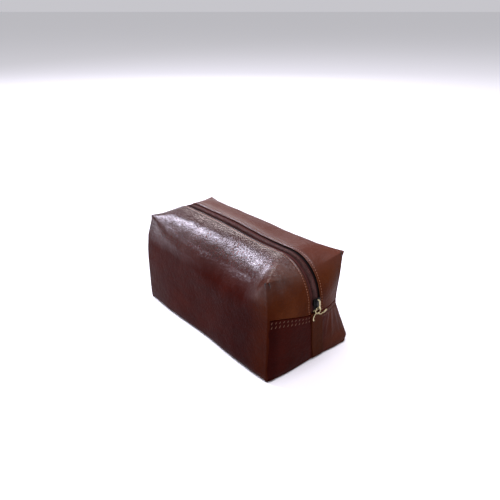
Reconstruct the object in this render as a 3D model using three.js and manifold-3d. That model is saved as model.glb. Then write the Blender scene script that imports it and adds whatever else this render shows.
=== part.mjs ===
// Boxed leather shaving kit bag with a zip that runs over the top and down both ends.
// Millimetres, +Z up. Origin: middle of the underside, on the surface the bag stands on.
// +X runs to the end where the slider rests when the bag is shut, -Y to the front long wall.
import * as THREE from 'three';
import { mergeVertices } from 'three/addons/utils/BufferGeometryUtils.js';
import Module from 'manifold-3d';

const wasm = await Module();
wasm.setup();

// ---------- driving dimensions ----------
const WALL_HALF_X = 124;      // half length of the long walls
const WALL_OUT_Y = 59.5;      // outer face of the long walls
const LEATHER = 1.8;          // leather with its turned backing
const WALL_TOP = 121;         // top edge of the long walls
const PANEL_Y = 57.2;         // edge of the top and end panels, next to the walls
const GAP = 0.3;              // seam gap between neighbouring pieces

const TOP_Z = 128;            // leather surface at the zip, along the top
const BEND = {                // the bend that the zip takes over each end: its centre, and the radius of the leather surface
  near: { x: 84, z: 79, r: 49 },      // wide and soft, where the slider runs
  far: { x: 97, z: 94, r: 34 },       // tighter; x is measured toward -X
};
const LIP_END = { near: 88, far: 100 };   // ends of the straight run of the zip on the top
const ZIP_EDGE_Y = 8;         // leather edge beside the zip
const EDGE_X = 124.5;         // end panels where they meet the walls
const EDGE_Z = 121.5;         // top panels where they meet the walls
const EAR_R = 6;              // rounding of the corner ears
const END_SEAM_Z = 65.5;        // seam across the middle of each end

const TAPE_IN = 2.9, TAPE_OUT = 2.1;        // zip tape, depth under the leather surface at the zip
const TAPE_EDGE_Y = 13, TAPE_GAP_Y = 0.4;
const COIL_IN = 1.8, COIL_OUT = -0.2, COIL_Y = 3.0, COIL_GAP_Y = 0.15;
const LINING_T = 0.6, LINING_IN = 3.3;      // lining, inset from the leather surface

const BAND_HALF_Y = 8.5;      // strip of leather down the ends and under the base
const BAND_T = 1.5;
const BASE_Z = 1.8;           // underside of the base leather

const SLIDER_Z = 79.5, SLIDER_LEN = 14, SLIDER_HALF_Y = 4.7;
const SLIDER_TOP_IN = 133.6, SLIDER_TOP_OUT = 135.2;
const SLIDER_BACK_IN = 127.9, SLIDER_BACK_OUT = 129.3;
const PULL_X = 136.7, PULL_Z = 75.6;        // where the pull ring passes through the bail
const RING_R = 4.0, WIRE_R = 0.6;

// ---------- materials ----------
const mat = (color, roughness, metalness = 0) => new THREE.MeshStandardMaterial({ color, roughness, metalness });
const leather = mat(0x4a2220, 0.38);
const leatherWarm = mat(0x52281a, 0.42);
const leatherDark = mat(0x3a1814, 0.4);
const bandLeather = mat(0x5a3420, 0.45);
const liningCloth = mat(0x241d1b, 0.9);
const tapeCloth = mat(0x3b2625, 0.85);
const coilNylon = mat(0x3a2828, 0.5);
const boardGrey = mat(0x6d6a64, 0.8);
const blackMetal = mat(0x17161a, 0.35, 0.9);
const brass = mat(0x9a8745, 0.35, 1.0);

const kit = new THREE.Group();
function add(name, geometry, material) {
  const mesh = new THREE.Mesh(geometry, material);
  mesh.name = name;
  kit.add(mesh);
  return mesh;
}

// ---------- geometry helpers ----------
function fromTriangles(points, tris) {
  let volume = 0;
  for (const [a, b, c] of tris) {
    const A = points[a], B = points[b], C = points[c];
    volume += A[0] * (B[1] * C[2] - B[2] * C[1]) - A[1] * (B[0] * C[2] - B[2] * C[0]) + A[2] * (B[0] * C[1] - B[1] * C[0]);
  }
  const geometry = new THREE.BufferGeometry();
  geometry.setAttribute('position', new THREE.Float32BufferAttribute(points.flat(), 3));
  geometry.setIndex(tris.flatMap(([a, b, c]) => (volume > 0 ? [a, b, c] : [a, c, b])));
  return geometry;
}

// A closed panel: the surface f(u, v), from depth t0 to depth t1 under it, with a rim.
function panel(f, u0, u1, nu, v0, v1, nv, t0, t1) {
  const at = (i, n, a, b) => a + (b - a) * i / n;
  const e = 1e-3;
  const sides = [[], []];
  for (let i = 0; i <= nu; i++) for (let j = 0; j <= nv; j++) {
    const u = at(i, nu, u0, u1), v = at(j, nv, v0, v1);
    const p = new THREE.Vector3(...f(u, v));
    const du = new THREE.Vector3(...f(u + e, v)).sub(new THREE.Vector3(...f(u - e, v)));
    const dv = new THREE.Vector3(...f(u, v + e)).sub(new THREE.Vector3(...f(u, v - e)));
    const n = du.cross(dv).normalize();
    // the depth runs inward, toward the middle of the bag
    const inward = new THREE.Vector3(0, 0, 55).sub(p);
    inward.y = 0;
    if (n.dot(inward) < 0) n.negate();
    n.y = 0;
    n.normalize();
    [t0, t1].forEach((t, k) => sides[k].push([p.x + n.x * t, p.y, p.z + n.z * t]));
  }
  const w = nv + 1, count = (nu + 1) * w;
  const id = (side, i, j) => side * count + i * w + j;
  const tris = [];
  const quad = (a, b, c, d) => tris.push([a, b, c], [a, c, d]);
  for (let i = 0; i < nu; i++) for (let j = 0; j < nv; j++) {
    quad(id(0, i, j), id(0, i + 1, j), id(0, i + 1, j + 1), id(0, i, j + 1));
    quad(id(1, i, j), id(1, i, j + 1), id(1, i + 1, j + 1), id(1, i + 1, j));
  }
  for (let i = 0; i < nu; i++) {
    quad(id(0, i, 0), id(1, i, 0), id(1, i + 1, 0), id(0, i + 1, 0));
    quad(id(0, i, nv), id(0, i + 1, nv), id(1, i + 1, nv), id(1, i, nv));
  }
  for (let j = 0; j < nv; j++) {
    quad(id(0, 0, j), id(0, 0, j + 1), id(1, 0, j + 1), id(1, 0, j));
    quad(id(0, nu, j), id(1, nu, j), id(1, nu, j + 1), id(0, nu, j + 1));
  }
  return fromTriangles([...sides[0], ...sides[1]], tris);
}

function box(x0, x1, y0, y1, z0, z1) {
  const g = new THREE.BoxGeometry(x1 - x0, y1 - y0, z1 - z0);
  g.translate((x0 + x1) / 2, (y0 + y1) / 2, (z0 + z1) / 2);
  return g;
}

// A profile in X and Z, drawn as [x, z] points, pushed along Y.
function slabXZ(points, y0, y1) {
  const shape = new THREE.Shape(points.map(([x, z]) => new THREE.Vector2(x, z)));
  const g = new THREE.ExtrudeGeometry(shape, { depth: y1 - y0, bevelEnabled: false, curveSegments: 8 });
  g.rotateX(Math.PI / 2);
  g.translate(0, y1, 0);
  return g;
}

function solid(geometry) {
  const g = geometry.index ? geometry.clone() : geometry.clone();
  g.deleteAttribute('normal');
  g.deleteAttribute('uv');
  const m = mergeVertices(g, 1e-4);
  return new wasm.Manifold(new wasm.Mesh({
    numProp: 3,
    vertProperties: new Float32Array(m.attributes.position.array),
    triVerts: new Uint32Array(m.index.array),
  }));
}

function joined(geometries) {
  let all = solid(geometries[0]);
  for (const g of geometries.slice(1)) all = all.add(solid(g));
  const mesh = all.getMesh();
  const out = new THREE.BufferGeometry();
  out.setAttribute('position', new THREE.BufferAttribute(new Float32Array(mesh.vertProperties), 3));
  out.setIndex(new THREE.BufferAttribute(new Uint32Array(mesh.triVerts), 1));
  return out;
}

function wire(points, radius, steps) {
  const curve = new THREE.CatmullRomCurve3(points.map((p) => new THREE.Vector3(...p)), false, 'centripetal');
  const circle = new THREE.Shape();
  circle.absarc(0, 0, radius, 0, Math.PI * 2, false);
  return new THREE.ExtrudeGeometry(circle, { steps, bevelEnabled: false, curveSegments: 4, extrudePath: curve });
}

// ---------- the long walls and the base ----------
for (const [name, sy] of [['front', -1], ['back', 1]]) {
  const y0 = sy < 0 ? -WALL_OUT_Y : WALL_OUT_Y - LEATHER;
  add(`${name}_wall`, box(-WALL_HALF_X, WALL_HALF_X, y0, y0 + LEATHER, 0, WALL_TOP), leather);
  const b0 = sy < 0 ? -(WALL_OUT_Y - LEATHER - GAP) : GAP / 2;
  const b1 = sy < 0 ? -GAP / 2 : WALL_OUT_Y - LEATHER - GAP;
  add(`${name}_base_half`, box(-122.5, 122.5, b0, b1, BASE_Z, BASE_Z + LEATHER), leather);
}

// ---------- the top panels beside the zip ----------
const sag = (v) => v * v;
const lipSurface = (sy) => (x, v) => [x, sy * (ZIP_EDGE_Y + (PANEL_Y - ZIP_EDGE_Y) * v), TOP_Z - (TOP_Z - EDGE_Z) * sag(v)];
for (const [name, sy] of [['front', -1], ['back', 1]]) {
  add(`${name}_lip`, panel(lipSurface(sy), -LIP_END.far, LIP_END.near, 2, 0, 1, 8, 0, LEATHER), leather);
  add(`${name}_lip_lining`, panel(lipSurface(sy), -LIP_END.far + 1, LIP_END.near - 1, 2, 0.03, 0.962, 6, LINING_IN, LINING_IN + LINING_T), liningCloth);
}

// ---------- the shoulders: from the top, over the bend, down to the seam across the end ----------
function bendOf(end) {
  const { x, z, r } = BEND[end];
  const arc = r * Math.PI / 2;
  const start = LIP_END[end] - x + 0.5;                 // where the shoulder starts on the top, past the bend's centre
  const first = Math.asin(start / r) * r;
  const zipPath = (s) => {                              // s from 0 at the top of the bend
    if (s <= arc) {
      const a = Math.PI / 2 - s / r;
      return [x + r * Math.cos(a), z + r * Math.sin(a), a];
    }
    return [x + r, z - (s - arc), 0];
  };
  const earPath = (t) => {                              // t from 0 to 1, a square corner with a small round
    const x0 = x + start, flat = EDGE_X - EAR_R - x0, drop = EDGE_Z - EAR_R - END_SEAM_Z - 0.5, round = EAR_R * Math.PI / 2;
    const d = t * (flat + round + drop);
    if (d < flat) return [x0 + d, EDGE_Z];
    if (d < flat + round) {
      const a = Math.PI / 2 - (d - flat) / EAR_R;
      return [EDGE_X - EAR_R + EAR_R * Math.cos(a), EDGE_Z - EAR_R + EAR_R * Math.sin(a)];
    }
    return [EDGE_X, EDGE_Z - EAR_R - (d - flat - round)];
  };
  const atZ = (height) => arc + (z - height);           // path length where the zip has come down to that height
  return { arc, first, last: atZ(END_SEAM_Z + 0.5), zipPath, earPath, atZ };
}
const shoulderSurface = (end, sx, sy) => {
  const bend = bendOf(end);
  return (t, v) => {
    const a = bend.zipPath(bend.first + (bend.last - bend.first) * t), b = bend.earPath(Math.min(1, Math.max(0, t)));
    const w = sag(v);
    return [sx * (a[0] + (b[0] - a[0]) * w), sy * (ZIP_EDGE_Y + (PANEL_Y - ZIP_EDGE_Y) * v), a[1] + (b[1] - a[1]) * w];
  };
};
for (const [end, sx] of [['near', 1], ['far', -1]]) for (const [side, sy] of [['front', -1], ['back', 1]]) {
  add(`${end}_shoulder_${side}`, panel(shoulderSurface(end, sx, sy), 0, 1, 20, 0, 1, 7, 0, LEATHER), leatherWarm);
  add(`${end}_shoulder_lining_${side}`, panel(shoulderSurface(end, sx, sy), 0.01, 0.985, 12, 0.03, 0.95, 4, LINING_IN, LINING_IN + LINING_T), liningCloth);
}

// ---------- the lower end panels ----------
const endSurface = (sx) => (y, z) => {
  const q = y / PANEL_Y, bulge = 1.5 + (sx > 0 ? 6.0 : 4.0) * z / 65;
  return [sx * (124.5 + bulge * (1 - q * q)), y, z];
};
for (const [end, sx] of [['near', 1], ['far', -1]]) {
  add(`${end}_end_panel`, panel(endSurface(sx), -PANEL_Y, PANEL_Y, 12, BASE_Z + LEATHER + GAP, END_SEAM_Z - 0.4, 3, 0, LEATHER), leatherDark);
  const x0 = sx > 0 ? 121.2 : -121.8;
  add(`${end}_end_lining`, box(x0, x0 + LINING_T, -55.3, 55.3, 6.7, END_SEAM_Z - 0.6), liningCloth);
}

// ---------- the strip that runs down both ends and under the base ----------
{
  const nearOuter = [[134.4, 65.3], [132.4, 38], [130.4, 15], [129.2, 4], [128.0, 1.4], [126.0, 0]];
  const farOuter = [[132.4, 65.3], [131.0, 38], [129.8, 15], [128.8, 4], [127.8, 1.4], [125.8, 0]];
  const inset = (pts) => pts.map(([x, z], i) => [[x - BAND_T, z], [x - BAND_T, z], [x - BAND_T, z], [x - BAND_T, z + 0.6], [x - 1.2, z + 1.0], [x - 0.6, BAND_T]][i]);
  const mirrored = (pts) => [...pts].reverse().map(([x, z]) => [-x, z]);
  const outline = [...nearOuter, ...mirrored(farOuter), ...[...mirrored(inset(farOuter))].reverse(), ...[...inset(nearOuter)].reverse()];
  add('centre_band', slabXZ(outline, -BAND_HALF_Y, BAND_HALF_Y), bandLeather);
}

// ---------- lining and the board under it ----------
add('front_lining', box(-118, 118, -56.6, -56.0, 6.7, 116.5), liningCloth);
add('back_lining', box(-118, 118, 56.0, 56.6, 6.7, 116.5), liningCloth);
add('base_board', box(-114, 114, -52, 52, 4.0, 5.3), boardGrey);
add('base_lining', box(-120.5, 120.5, -55.3, 55.3, 5.7, 6.3), liningCloth);
add('slip_pocket', box(-62, 62, 55.1, 55.7, 14, 78), liningCloth);

// ---------- the zip ----------
// tape edges stay 0.4 mm off the middle, and part round the slider's post at the shut end
const PART_Z = 76.2;
function strip(end, sx, sy, y0, y1, s0, s1, n, depth0, depth1) {   // a ribbon along the zip's path, its depth along the bend's radius
  const bend = bendOf(end), pts = [[], []];
  for (let i = 0; i <= n; i++) for (const y of [y0, y1]) {
    const [x, z, a] = bend.zipPath(s0 + (s1 - s0) * i / n);
    [depth0, depth1].forEach((d, k) => pts[k].push([sx * (x - Math.cos(a) * d), sy * y, z - Math.sin(a) * d]));
  }
  const count = (n + 1) * 2, id = (k, i, j) => k * count + i * 2 + j, tris = [];
  const quad = (a, b, c, d) => tris.push([a, b, c], [a, c, d]);
  for (let i = 0; i < n; i++) {
    quad(id(0, i, 0), id(0, i + 1, 0), id(0, i + 1, 1), id(0, i, 1));
    quad(id(1, i, 0), id(1, i, 1), id(1, i + 1, 1), id(1, i + 1, 0));
    quad(id(0, i, 0), id(1, i, 0), id(1, i + 1, 0), id(0, i + 1, 0));
    quad(id(0, i, 1), id(0, i + 1, 1), id(1, i + 1, 1), id(1, i, 1));
  }
  quad(id(0, 0, 0), id(0, 0, 1), id(1, 0, 1), id(1, 0, 0));
  quad(id(0, n, 0), id(1, n, 0), id(1, n, 1), id(0, n, 1));
  return fromTriangles([...pts[0], ...pts[1]], tris);
}
for (const [side, sy] of [['front', -1], ['back', 1]]) {
  const y = (a, b) => (sy < 0 ? [-b, -a] : [a, b]);
  const t = y(TAPE_GAP_Y, TAPE_EDGE_Y), c = y(COIL_GAP_Y, COIL_Y);
  const X0 = -LIP_END.far + 0.2, X1 = LIP_END.near - 0.2;
  add(`zip_tape_${side}_top`, box(X0, X1, t[0], t[1], TOP_Z - TAPE_IN, TOP_Z - TAPE_OUT), tapeCloth);
  add(`zip_coil_${side}_top`, box(X0, X1, c[0], c[1], TOP_Z - COIL_IN, TOP_Z - COIL_OUT), coilNylon);
  for (const [end, sx] of [['near', 1], ['far', -1]]) {
    const bend = bendOf(end);
    const low = bend.atZ(END_SEAM_Z + 0.9), cut = bend.atZ(PART_Z);
    if (end === 'near') {
      // full width above, narrower beside the slider's post below, as one strip
      add(`zip_tape_${side}_${end}`, joined([
        strip(end, sx, sy, TAPE_GAP_Y, TAPE_EDGE_Y, bend.first, cut + 0.05, 16, TAPE_OUT, TAPE_IN),
        strip(end, sx, sy, 1.8, TAPE_EDGE_Y, cut, low, 1, TAPE_OUT, TAPE_IN),
      ]), tapeCloth);
      add(`zip_coil_${side}_${end}`, strip(end, sx, sy, COIL_GAP_Y, COIL_Y, bend.first, bend.atZ(74.6), 16, COIL_OUT, COIL_IN), coilNylon);
    } else {
      add(`zip_tape_${side}_${end}`, strip(end, sx, sy, TAPE_GAP_Y, TAPE_EDGE_Y, bend.first, low, 16, TAPE_OUT, TAPE_IN), tapeCloth);
      add(`zip_coil_${side}_${end}`, strip(end, sx, sy, COIL_GAP_Y, COIL_Y, bend.first, bend.atZ(71.2), 16, COIL_OUT, COIL_IN), coilNylon);
    }
  }
}
add('near_zip_stop', joined([box(131.3, 132.6, -3.4, 3.4, 68.2, 70.4), box(128.9, 131.4, -1.2, 1.2, 68.2, 70.4), box(128.6, 129.8, -3.4, 3.4, 68.2, 70.4)]), brass);
add('far_zip_stop', box(-130.9, -129.3, -3.2, 3.2, 68.2, 70.6), brass);

// ---------- slider, bail and pull ----------
const z0 = SLIDER_Z - SLIDER_LEN / 2, z1 = SLIDER_Z + SLIDER_LEN / 2;
function plate(x0, x1, half, narrow) {                  // slider plate, narrower at its lower, shut end
  const s = new THREE.Shape([
    [-narrow, z0], [narrow, z0], [half, z0 + 4.5], [half, z1 - 1.2], [half - 1.2, z1], [-half + 1.2, z1], [-half, z1 - 1.2], [-half, z0 + 4.5],
  ].map(([y, z]) => new THREE.Vector2(y, z)));
  const g = new THREE.ExtrudeGeometry(s, { depth: x1 - x0, bevelEnabled: false });
  // drawn in (y, z), pushed along x
  const m = new THREE.Matrix4().set(0, 0, 1, x0, 1, 0, 0, 0, 0, 1, 0, 0, 0, 0, 0, 1);
  g.applyMatrix4(m);
  return g;
}
add('slider_body', joined([
  plate(SLIDER_TOP_IN, SLIDER_TOP_OUT, SLIDER_HALF_Y, 3.2),
  plate(SLIDER_BACK_IN, SLIDER_BACK_OUT, SLIDER_HALF_Y, 3.2),
  box(SLIDER_BACK_OUT - 0.4, SLIDER_TOP_IN + 0.4, -1.2, 1.2, z0 + 0.4, z0 + 1.7),
  box(131.7, SLIDER_TOP_IN + 0.4, -SLIDER_HALF_Y, -3.7, z0 + 5, z1 - 1.5),
  box(131.7, SLIDER_TOP_IN + 0.4, 3.7, SLIDER_HALF_Y, z0 + 5, z1 - 1.5),
]), blackMetal);
add('slider_bail', slabXZ([
  [135.5, 73.0], [138.2, 73.0], [139.3, 74.2], [139.3, 82.6], [138.0, 85.2], [135.5, 85.6],
  [135.5, 84.0], [137.2, 83.7], [138.0, 82.2], [138.0, 74.5], [135.5, 74.3],
], -1.2, 1.2), brass);
const ring = new THREE.TorusGeometry(RING_R, WIRE_R, 8, 24);
ring.rotateY(Math.PI / 2);
ring.translate(PULL_X, 0, PULL_Z - RING_R);
add('pull_ring', ring, brass);
const wz = PULL_Z - 2 * RING_R;                          // the ring's lowest wire, which the fork hangs on
add('pull_fork', wire([
  [PULL_X - 1.1, -5.2, wz - 9.4], [PULL_X - 1.5, -5.3, wz - 6.0], [PULL_X - 1.6, -3.8, wz - 2.2], [PULL_X - 1.55, -0.9, wz + 0.1],
  [PULL_X - 0.7, -0.1, wz + 1.45], [PULL_X + 0.7, 0.1, wz + 1.45],
  [PULL_X + 1.6, 0.9, wz + 0.1], [PULL_X + 2.0, 3.4, wz - 0.7], [PULL_X + 2.6, 6.4, wz + 0.7], [PULL_X + 3.4, 9.0, wz + 3.2],
], WIRE_R, 40), brass);

export default kit;
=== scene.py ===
# Shaving kit bag: the visual model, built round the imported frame. Metres; the shape code works in millimetres.
import math

import bpy
import bmesh
import numpy as np
from mathutils import Vector, Matrix, noise


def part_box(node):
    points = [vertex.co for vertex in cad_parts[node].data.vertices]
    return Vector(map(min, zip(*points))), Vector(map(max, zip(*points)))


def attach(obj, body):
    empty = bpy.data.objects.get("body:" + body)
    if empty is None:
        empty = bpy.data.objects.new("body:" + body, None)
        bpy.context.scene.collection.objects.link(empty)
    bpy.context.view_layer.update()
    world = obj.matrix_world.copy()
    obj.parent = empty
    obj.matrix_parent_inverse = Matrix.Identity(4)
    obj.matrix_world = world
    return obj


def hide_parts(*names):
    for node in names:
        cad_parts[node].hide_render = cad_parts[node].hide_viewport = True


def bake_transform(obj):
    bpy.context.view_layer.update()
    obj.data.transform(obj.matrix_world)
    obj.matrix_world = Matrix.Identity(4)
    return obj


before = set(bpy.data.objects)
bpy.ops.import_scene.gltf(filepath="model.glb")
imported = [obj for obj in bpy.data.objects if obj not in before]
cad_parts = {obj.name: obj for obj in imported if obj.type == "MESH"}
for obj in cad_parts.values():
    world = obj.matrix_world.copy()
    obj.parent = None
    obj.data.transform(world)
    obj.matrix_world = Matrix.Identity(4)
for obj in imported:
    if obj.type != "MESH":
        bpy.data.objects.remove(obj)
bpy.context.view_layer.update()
MM = 0.001
RNG = np.random.default_rng(7)

# ------------------------------------------------------------------ camera
AZ, EL, DIST = math.radians(49.57), math.radians(25.02), 0.66494
TARGET = Vector((0.02147, 0.0, 0.10639))
back = Vector((math.sin(AZ) * math.cos(EL), -math.cos(AZ) * math.cos(EL), math.sin(EL)))
cam_data = bpy.data.cameras.new("camera")
cam = bpy.data.objects.new("camera", cam_data)
bpy.context.scene.collection.objects.link(cam)
cam.location = TARGET + back * DIST
cam.rotation_mode = "QUATERNION"
cam.rotation_quaternion = (-back).to_track_quat("-Z", "Y")
cam_data.sensor_width = 36.0
cam_data.lens = 36.0 * 534.63 / 500.0
cam_data.clip_start, cam_data.clip_end = 0.01, 20.0
bpy.context.scene.camera = cam

# ------------------------------------------------------------------ shape constants, mm, as in the frame
NEAR_C, FAR_C = (84.0, 79.0, 49.0), (97.0, 94.0, 34.0)   # bend centre x, z and radius at each end
TOP_Z, SEAM_Z = 128.0, 66.0
ZIP_Y, WALL_Y = 8.0, 59.5
EDGE_X, EDGE_Z = 124.5, 121.5
LEATHER = 1.6

L1 = NEAR_C[1] - SEAM_Z
L2 = NEAR_C[2] * math.pi / 2
L3 = NEAR_C[0] + FAR_C[0]
L4 = FAR_C[2] * math.pi / 2
L5 = FAR_C[1] - SEAM_Z
S_TOTAL = L1 + L2 + L3 + L4 + L5


def smooth01(t):
    t = np.clip(t, 0, 1)
    return t * t * (3 - 2 * t)


def zip_at(s):
    """Point (x, z) and outward normal (nx, nz) of the leather surface at the zip, s mm along it from the near end's seam."""
    s = np.asarray(s, float)
    x, z, nx, nz = (np.zeros_like(s) for _ in range(4))
    a = s < L1
    x[a], z[a], nx[a] = NEAR_C[0] + NEAR_C[2], SEAM_Z + s[a], 1
    a = (s >= L1) & (s < L1 + L2)
    t = (s[a] - L1) / NEAR_C[2]
    x[a], z[a] = NEAR_C[0] + NEAR_C[2] * np.cos(t), NEAR_C[1] + NEAR_C[2] * np.sin(t)
    nx[a], nz[a] = np.cos(t), np.sin(t)
    a = (s >= L1 + L2) & (s < L1 + L2 + L3)
    x[a], z[a], nz[a] = NEAR_C[0] - (s[a] - L1 - L2), TOP_Z, 1
    a = (s >= L1 + L2 + L3) & (s < L1 + L2 + L3 + L4)
    t = (s[a] - L1 - L2 - L3) / FAR_C[2]
    x[a], z[a] = -(FAR_C[0] + FAR_C[2] * np.sin(t)), FAR_C[1] + FAR_C[2] * np.cos(t)
    nx[a], nz[a] = -np.sin(t), np.cos(t)
    a = s >= L1 + L2 + L3 + L4
    x[a], z[a], nx[a] = -(FAR_C[0] + FAR_C[2]), FAR_C[1] - (s[a] - (S_TOTAL - L5)), -1
    return x, z, nx, nz


EDGE_UP = EDGE_Z - SEAM_Z                       # the walls' vertical edge above the end seam
E1 = EDGE_UP + (EDGE_X - NEAR_C[0])
E2 = E1 + L3
E3 = E2 + (EDGE_X - FAR_C[0]) + EDGE_UP


def edge_at(e):
    """The wall's edge, e mm along it: up the near corner, along the top, down the far corner."""
    e = np.asarray(e, float)
    x = np.where(e < EDGE_UP, EDGE_X, np.where(e > E3 - EDGE_UP, -EDGE_X, EDGE_X - (e - EDGE_UP)))
    z = np.where(e < EDGE_UP, SEAM_Z + e, np.where(e > E3 - EDGE_UP, EDGE_Z - (e - (E3 - EDGE_UP)), EDGE_Z))
    return x, z


def s_of_e(e):
    return np.interp(e, [0, E1, E2, E3], [0, L1 + L2, L1 + L2 + L3, S_TOTAL])


def spaced(a, b, step, fine_a=(), fine_b=()):
    """Samples from a to b, about step apart, with closer ones near the ends."""
    sign = 1 if b > a else -1
    lo = a + sign * (fine_a[-1] if len(fine_a) else 0)
    hi = b - sign * (fine_b[-1] if len(fine_b) else 0)
    n = max(1, int(round(abs(hi - lo) / step)))
    mid = np.linspace(lo, hi, n + 1)
    left = [a] + [a + sign * f for f in fine_a[:-1]] if len(fine_a) else []
    right = [b - sign * f for f in fine_b[:-1]][::-1] + [b] if len(fine_b) else []
    return np.array(list(left) + list(mid) + list(right))


SEAM_FINE = (0.3, 0.7, 1.2, 1.9, 2.9)
LOW_BULGE = 5.0          # how far the near end's foot swells past its corners

# ------------------------------------------------------------------ how the soft bag has settled
# offsets of the four upright corners and of the middle of each end, by height
KZ = np.array([0.0, 8, 20, 61, 75, 95, 121.5, 132])
NF = np.array([(3.4, -6.6, 0), (4.4, -7.4, 0), (3.0, -5.5, 4), (0.5, -1.8, 12), (-0.5, -1.5, 10), (-2.0, -1, 4), (-4.0, -1.5, 0.4), (-4, -1.5, 0.4)], float)
NB = np.array([(5.0, 5.6, 0), (5.6, 8.2, 0), (2.0, 5.4, 0), (-0.6, -10.5, -1.8), (-0.6, -10.5, -1.6), (-0.3, -7, 0.8), (0.5, -5, 4.0), (0.5, -5, 4.0)], float)
FF = np.array([(0.5, -2.2, 0), (0.2, -3.0, 0), (0, -3.2, 0), (-0.8, -3.0, 0), (-1.0, -2.2, 0.5), (-1.0, 0.0, 1), (1, 7.2, 2), (1, 7.2, 2)], float)
FB = np.array([(0, 0, 0), (0, 0, 0), (0, 0, 0), (-2, -2, 0), (-2, -3, 0), (-3, -4, 1), (-4.5, -5.5, 2), (-4.5, -5.5, 2)], float)
NM = np.array([(0, 14, 0), (0, 13, 0), (0, 11, 0), (0, 5.5, 0), (0, 2.5, 0), (0, 2.3, 0), (0, 2.5, 0), (0, 3.1, 0)], float)
FM = np.array([(0, 0, 0)] * 8, float)


def curve(table, z):
    z = np.clip(z, 0, 132)
    return np.stack([np.interp(z, KZ, table[:, k]) for k in range(3)], 1)


def settle(p):
    """Moves points of the even, boxy bag to where the soft bag's leather lies."""
    p = np.array(p, float)
    x, y, z = p[:, 0], p[:, 1], p[:, 2]
    near, far = smooth01(x / 124.0)[:, None], smooth01(-x / 124.0)[:, None]
    t = np.clip(y / WALL_Y, -1, 1)
    wf = np.where(t < 0, smooth01(-t), 0)[:, None]
    wb = np.where(t > 0, smooth01(t), 0)[:, None]
    wm = 1 - wf - wb
    d = near * (wf * curve(NF, z) + wb * curve(NB, z) + wm * curve(NM, z))
    d += far * (wf * curve(FF, z) + wb * curve(FB, z) + wm * curve(FM, z))
    # the top crowns over what is packed inside, more toward the far end
    crown = 4.4 * smooth01((62 - x) / 90) * smooth01((z - 88) / 36) * (1 - np.clip(np.abs(t), 0, 1) ** 2)
    d[:, 2] += crown
    flare = (1 - np.clip(np.abs(x) / 124.5, 0, 1) ** 3) * smooth01((62 - z) / 58)
    d[:, 1] -= 4.6 * flare * wf[:, 0]
    d[:, 1] += 1.5 * flare * wb[:, 0]
    out = p + d
    out[:, 2] = np.maximum(out[:, 2], 0.0)
    return out


# ------------------------------------------------------------------ mesh helpers
def grid_faces(n, m, base=0, flip=False):
    i, j = np.meshgrid(np.arange(n - 1), np.arange(m - 1), indexing="ij")
    a = base + i * m + j
    q = np.stack([a, a + m, a + m + 1, a + 1], -1).reshape(-1, 4)
    return q[:, ::-1] if flip else q


def merge(points, faces, tol=1e-4):
    key = np.round(points / tol).astype(np.int64)
    _, first, inverse = np.unique(key, axis=0, return_index=True, return_inverse=True)
    inverse = inverse.ravel()
    return points[first], inverse[faces], first, inverse


def relax(points, faces, weight, rounds, strength=0.5):
    e = np.concatenate([faces[:, [0, 1]], faces[:, [1, 2]], faces[:, [2, 3]], faces[:, [3, 0]]])
    e = np.unique(np.sort(e, 1), axis=0)
    n = len(points)
    deg = np.bincount(e.ravel(), minlength=n).astype(float)
    p = points.copy()
    for _ in range(rounds):
        acc = np.zeros_like(p)
        np.add.at(acc, e[:, 0], p[e[:, 1]])
        np.add.at(acc, e[:, 1], p[e[:, 0]])
        p += strength * weight[:, None] * (acc / deg[:, None] - p)
    return p


def vertex_normals(points, faces):
    d1 = points[faces[:, 2]] - points[faces[:, 0]]
    d2 = points[faces[:, 3]] - points[faces[:, 1]]
    fn = np.cross(d1, d2)
    vn = np.zeros_like(points)
    for k in range(4):
        np.add.at(vn, faces[:, k], fn)
    return vn / np.maximum(np.linalg.norm(vn, axis=1), 1e-9)[:, None]


def make_object(name, points_mm, faces, material=None, smooth=True):
    mesh = bpy.data.meshes.new(name)
    mesh.from_pydata((np.asarray(points_mm) * MM).tolist(), [], [list(map(int, f)) for f in faces])
    mesh.validate(clean_customdata=False)
    mesh.update()
    o = bpy.data.objects.new(name, mesh)
    bpy.context.scene.collection.objects.link(o)
    if smooth:
        mesh.polygons.foreach_set("use_smooth", [True] * len(mesh.polygons))
    if material is not None:
        mesh.materials.append(material)
    return o


def apply_modifiers(o):
    dg = bpy.context.evaluated_depsgraph_get()
    mesh = bpy.data.meshes.new_from_object(o.evaluated_get(dg), depsgraph=dg)
    o.modifiers.clear()
    o.data = mesh
    return o


def thicken(points, faces, t, outer_edge_roll=0.0):
    """A closed sheet: the given outer surface, an inner one t mm below, and a rim."""
    n = vertex_normals(points, faces)
    inner = points - n * t
    count = len(points)
    e = np.concatenate([faces[:, [0, 1]], faces[:, [1, 2]], faces[:, [2, 3]], faces[:, [3, 0]]])
    key = np.sort(e, 1)
    _, idx, cnt = np.unique(key, axis=0, return_index=True, return_counts=True)
    rim = e[idx[cnt == 1]]
    quads = np.stack([rim[:, 1], rim[:, 0], rim[:, 0] + count, rim[:, 1] + count], 1)
    return np.concatenate([points, inner]), np.concatenate([faces, faces[:, ::-1] + count, quads])


def fbm(p, scale, octaves=3):
    return np.array([noise.fractal(Vector((float(a), float(b), float(c))) / scale, 0.9, 2.0, octaves) for a, b, c in p])


# ------------------------------------------------------------------ leather relief
CREASES = []      # centre, direction, half length, half width, depth


def crease(c, d, half, width, depth):
    d = np.array(d, float)
    CREASES.append((np.array(c, float), d / np.linalg.norm(d), half, width, depth))


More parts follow.
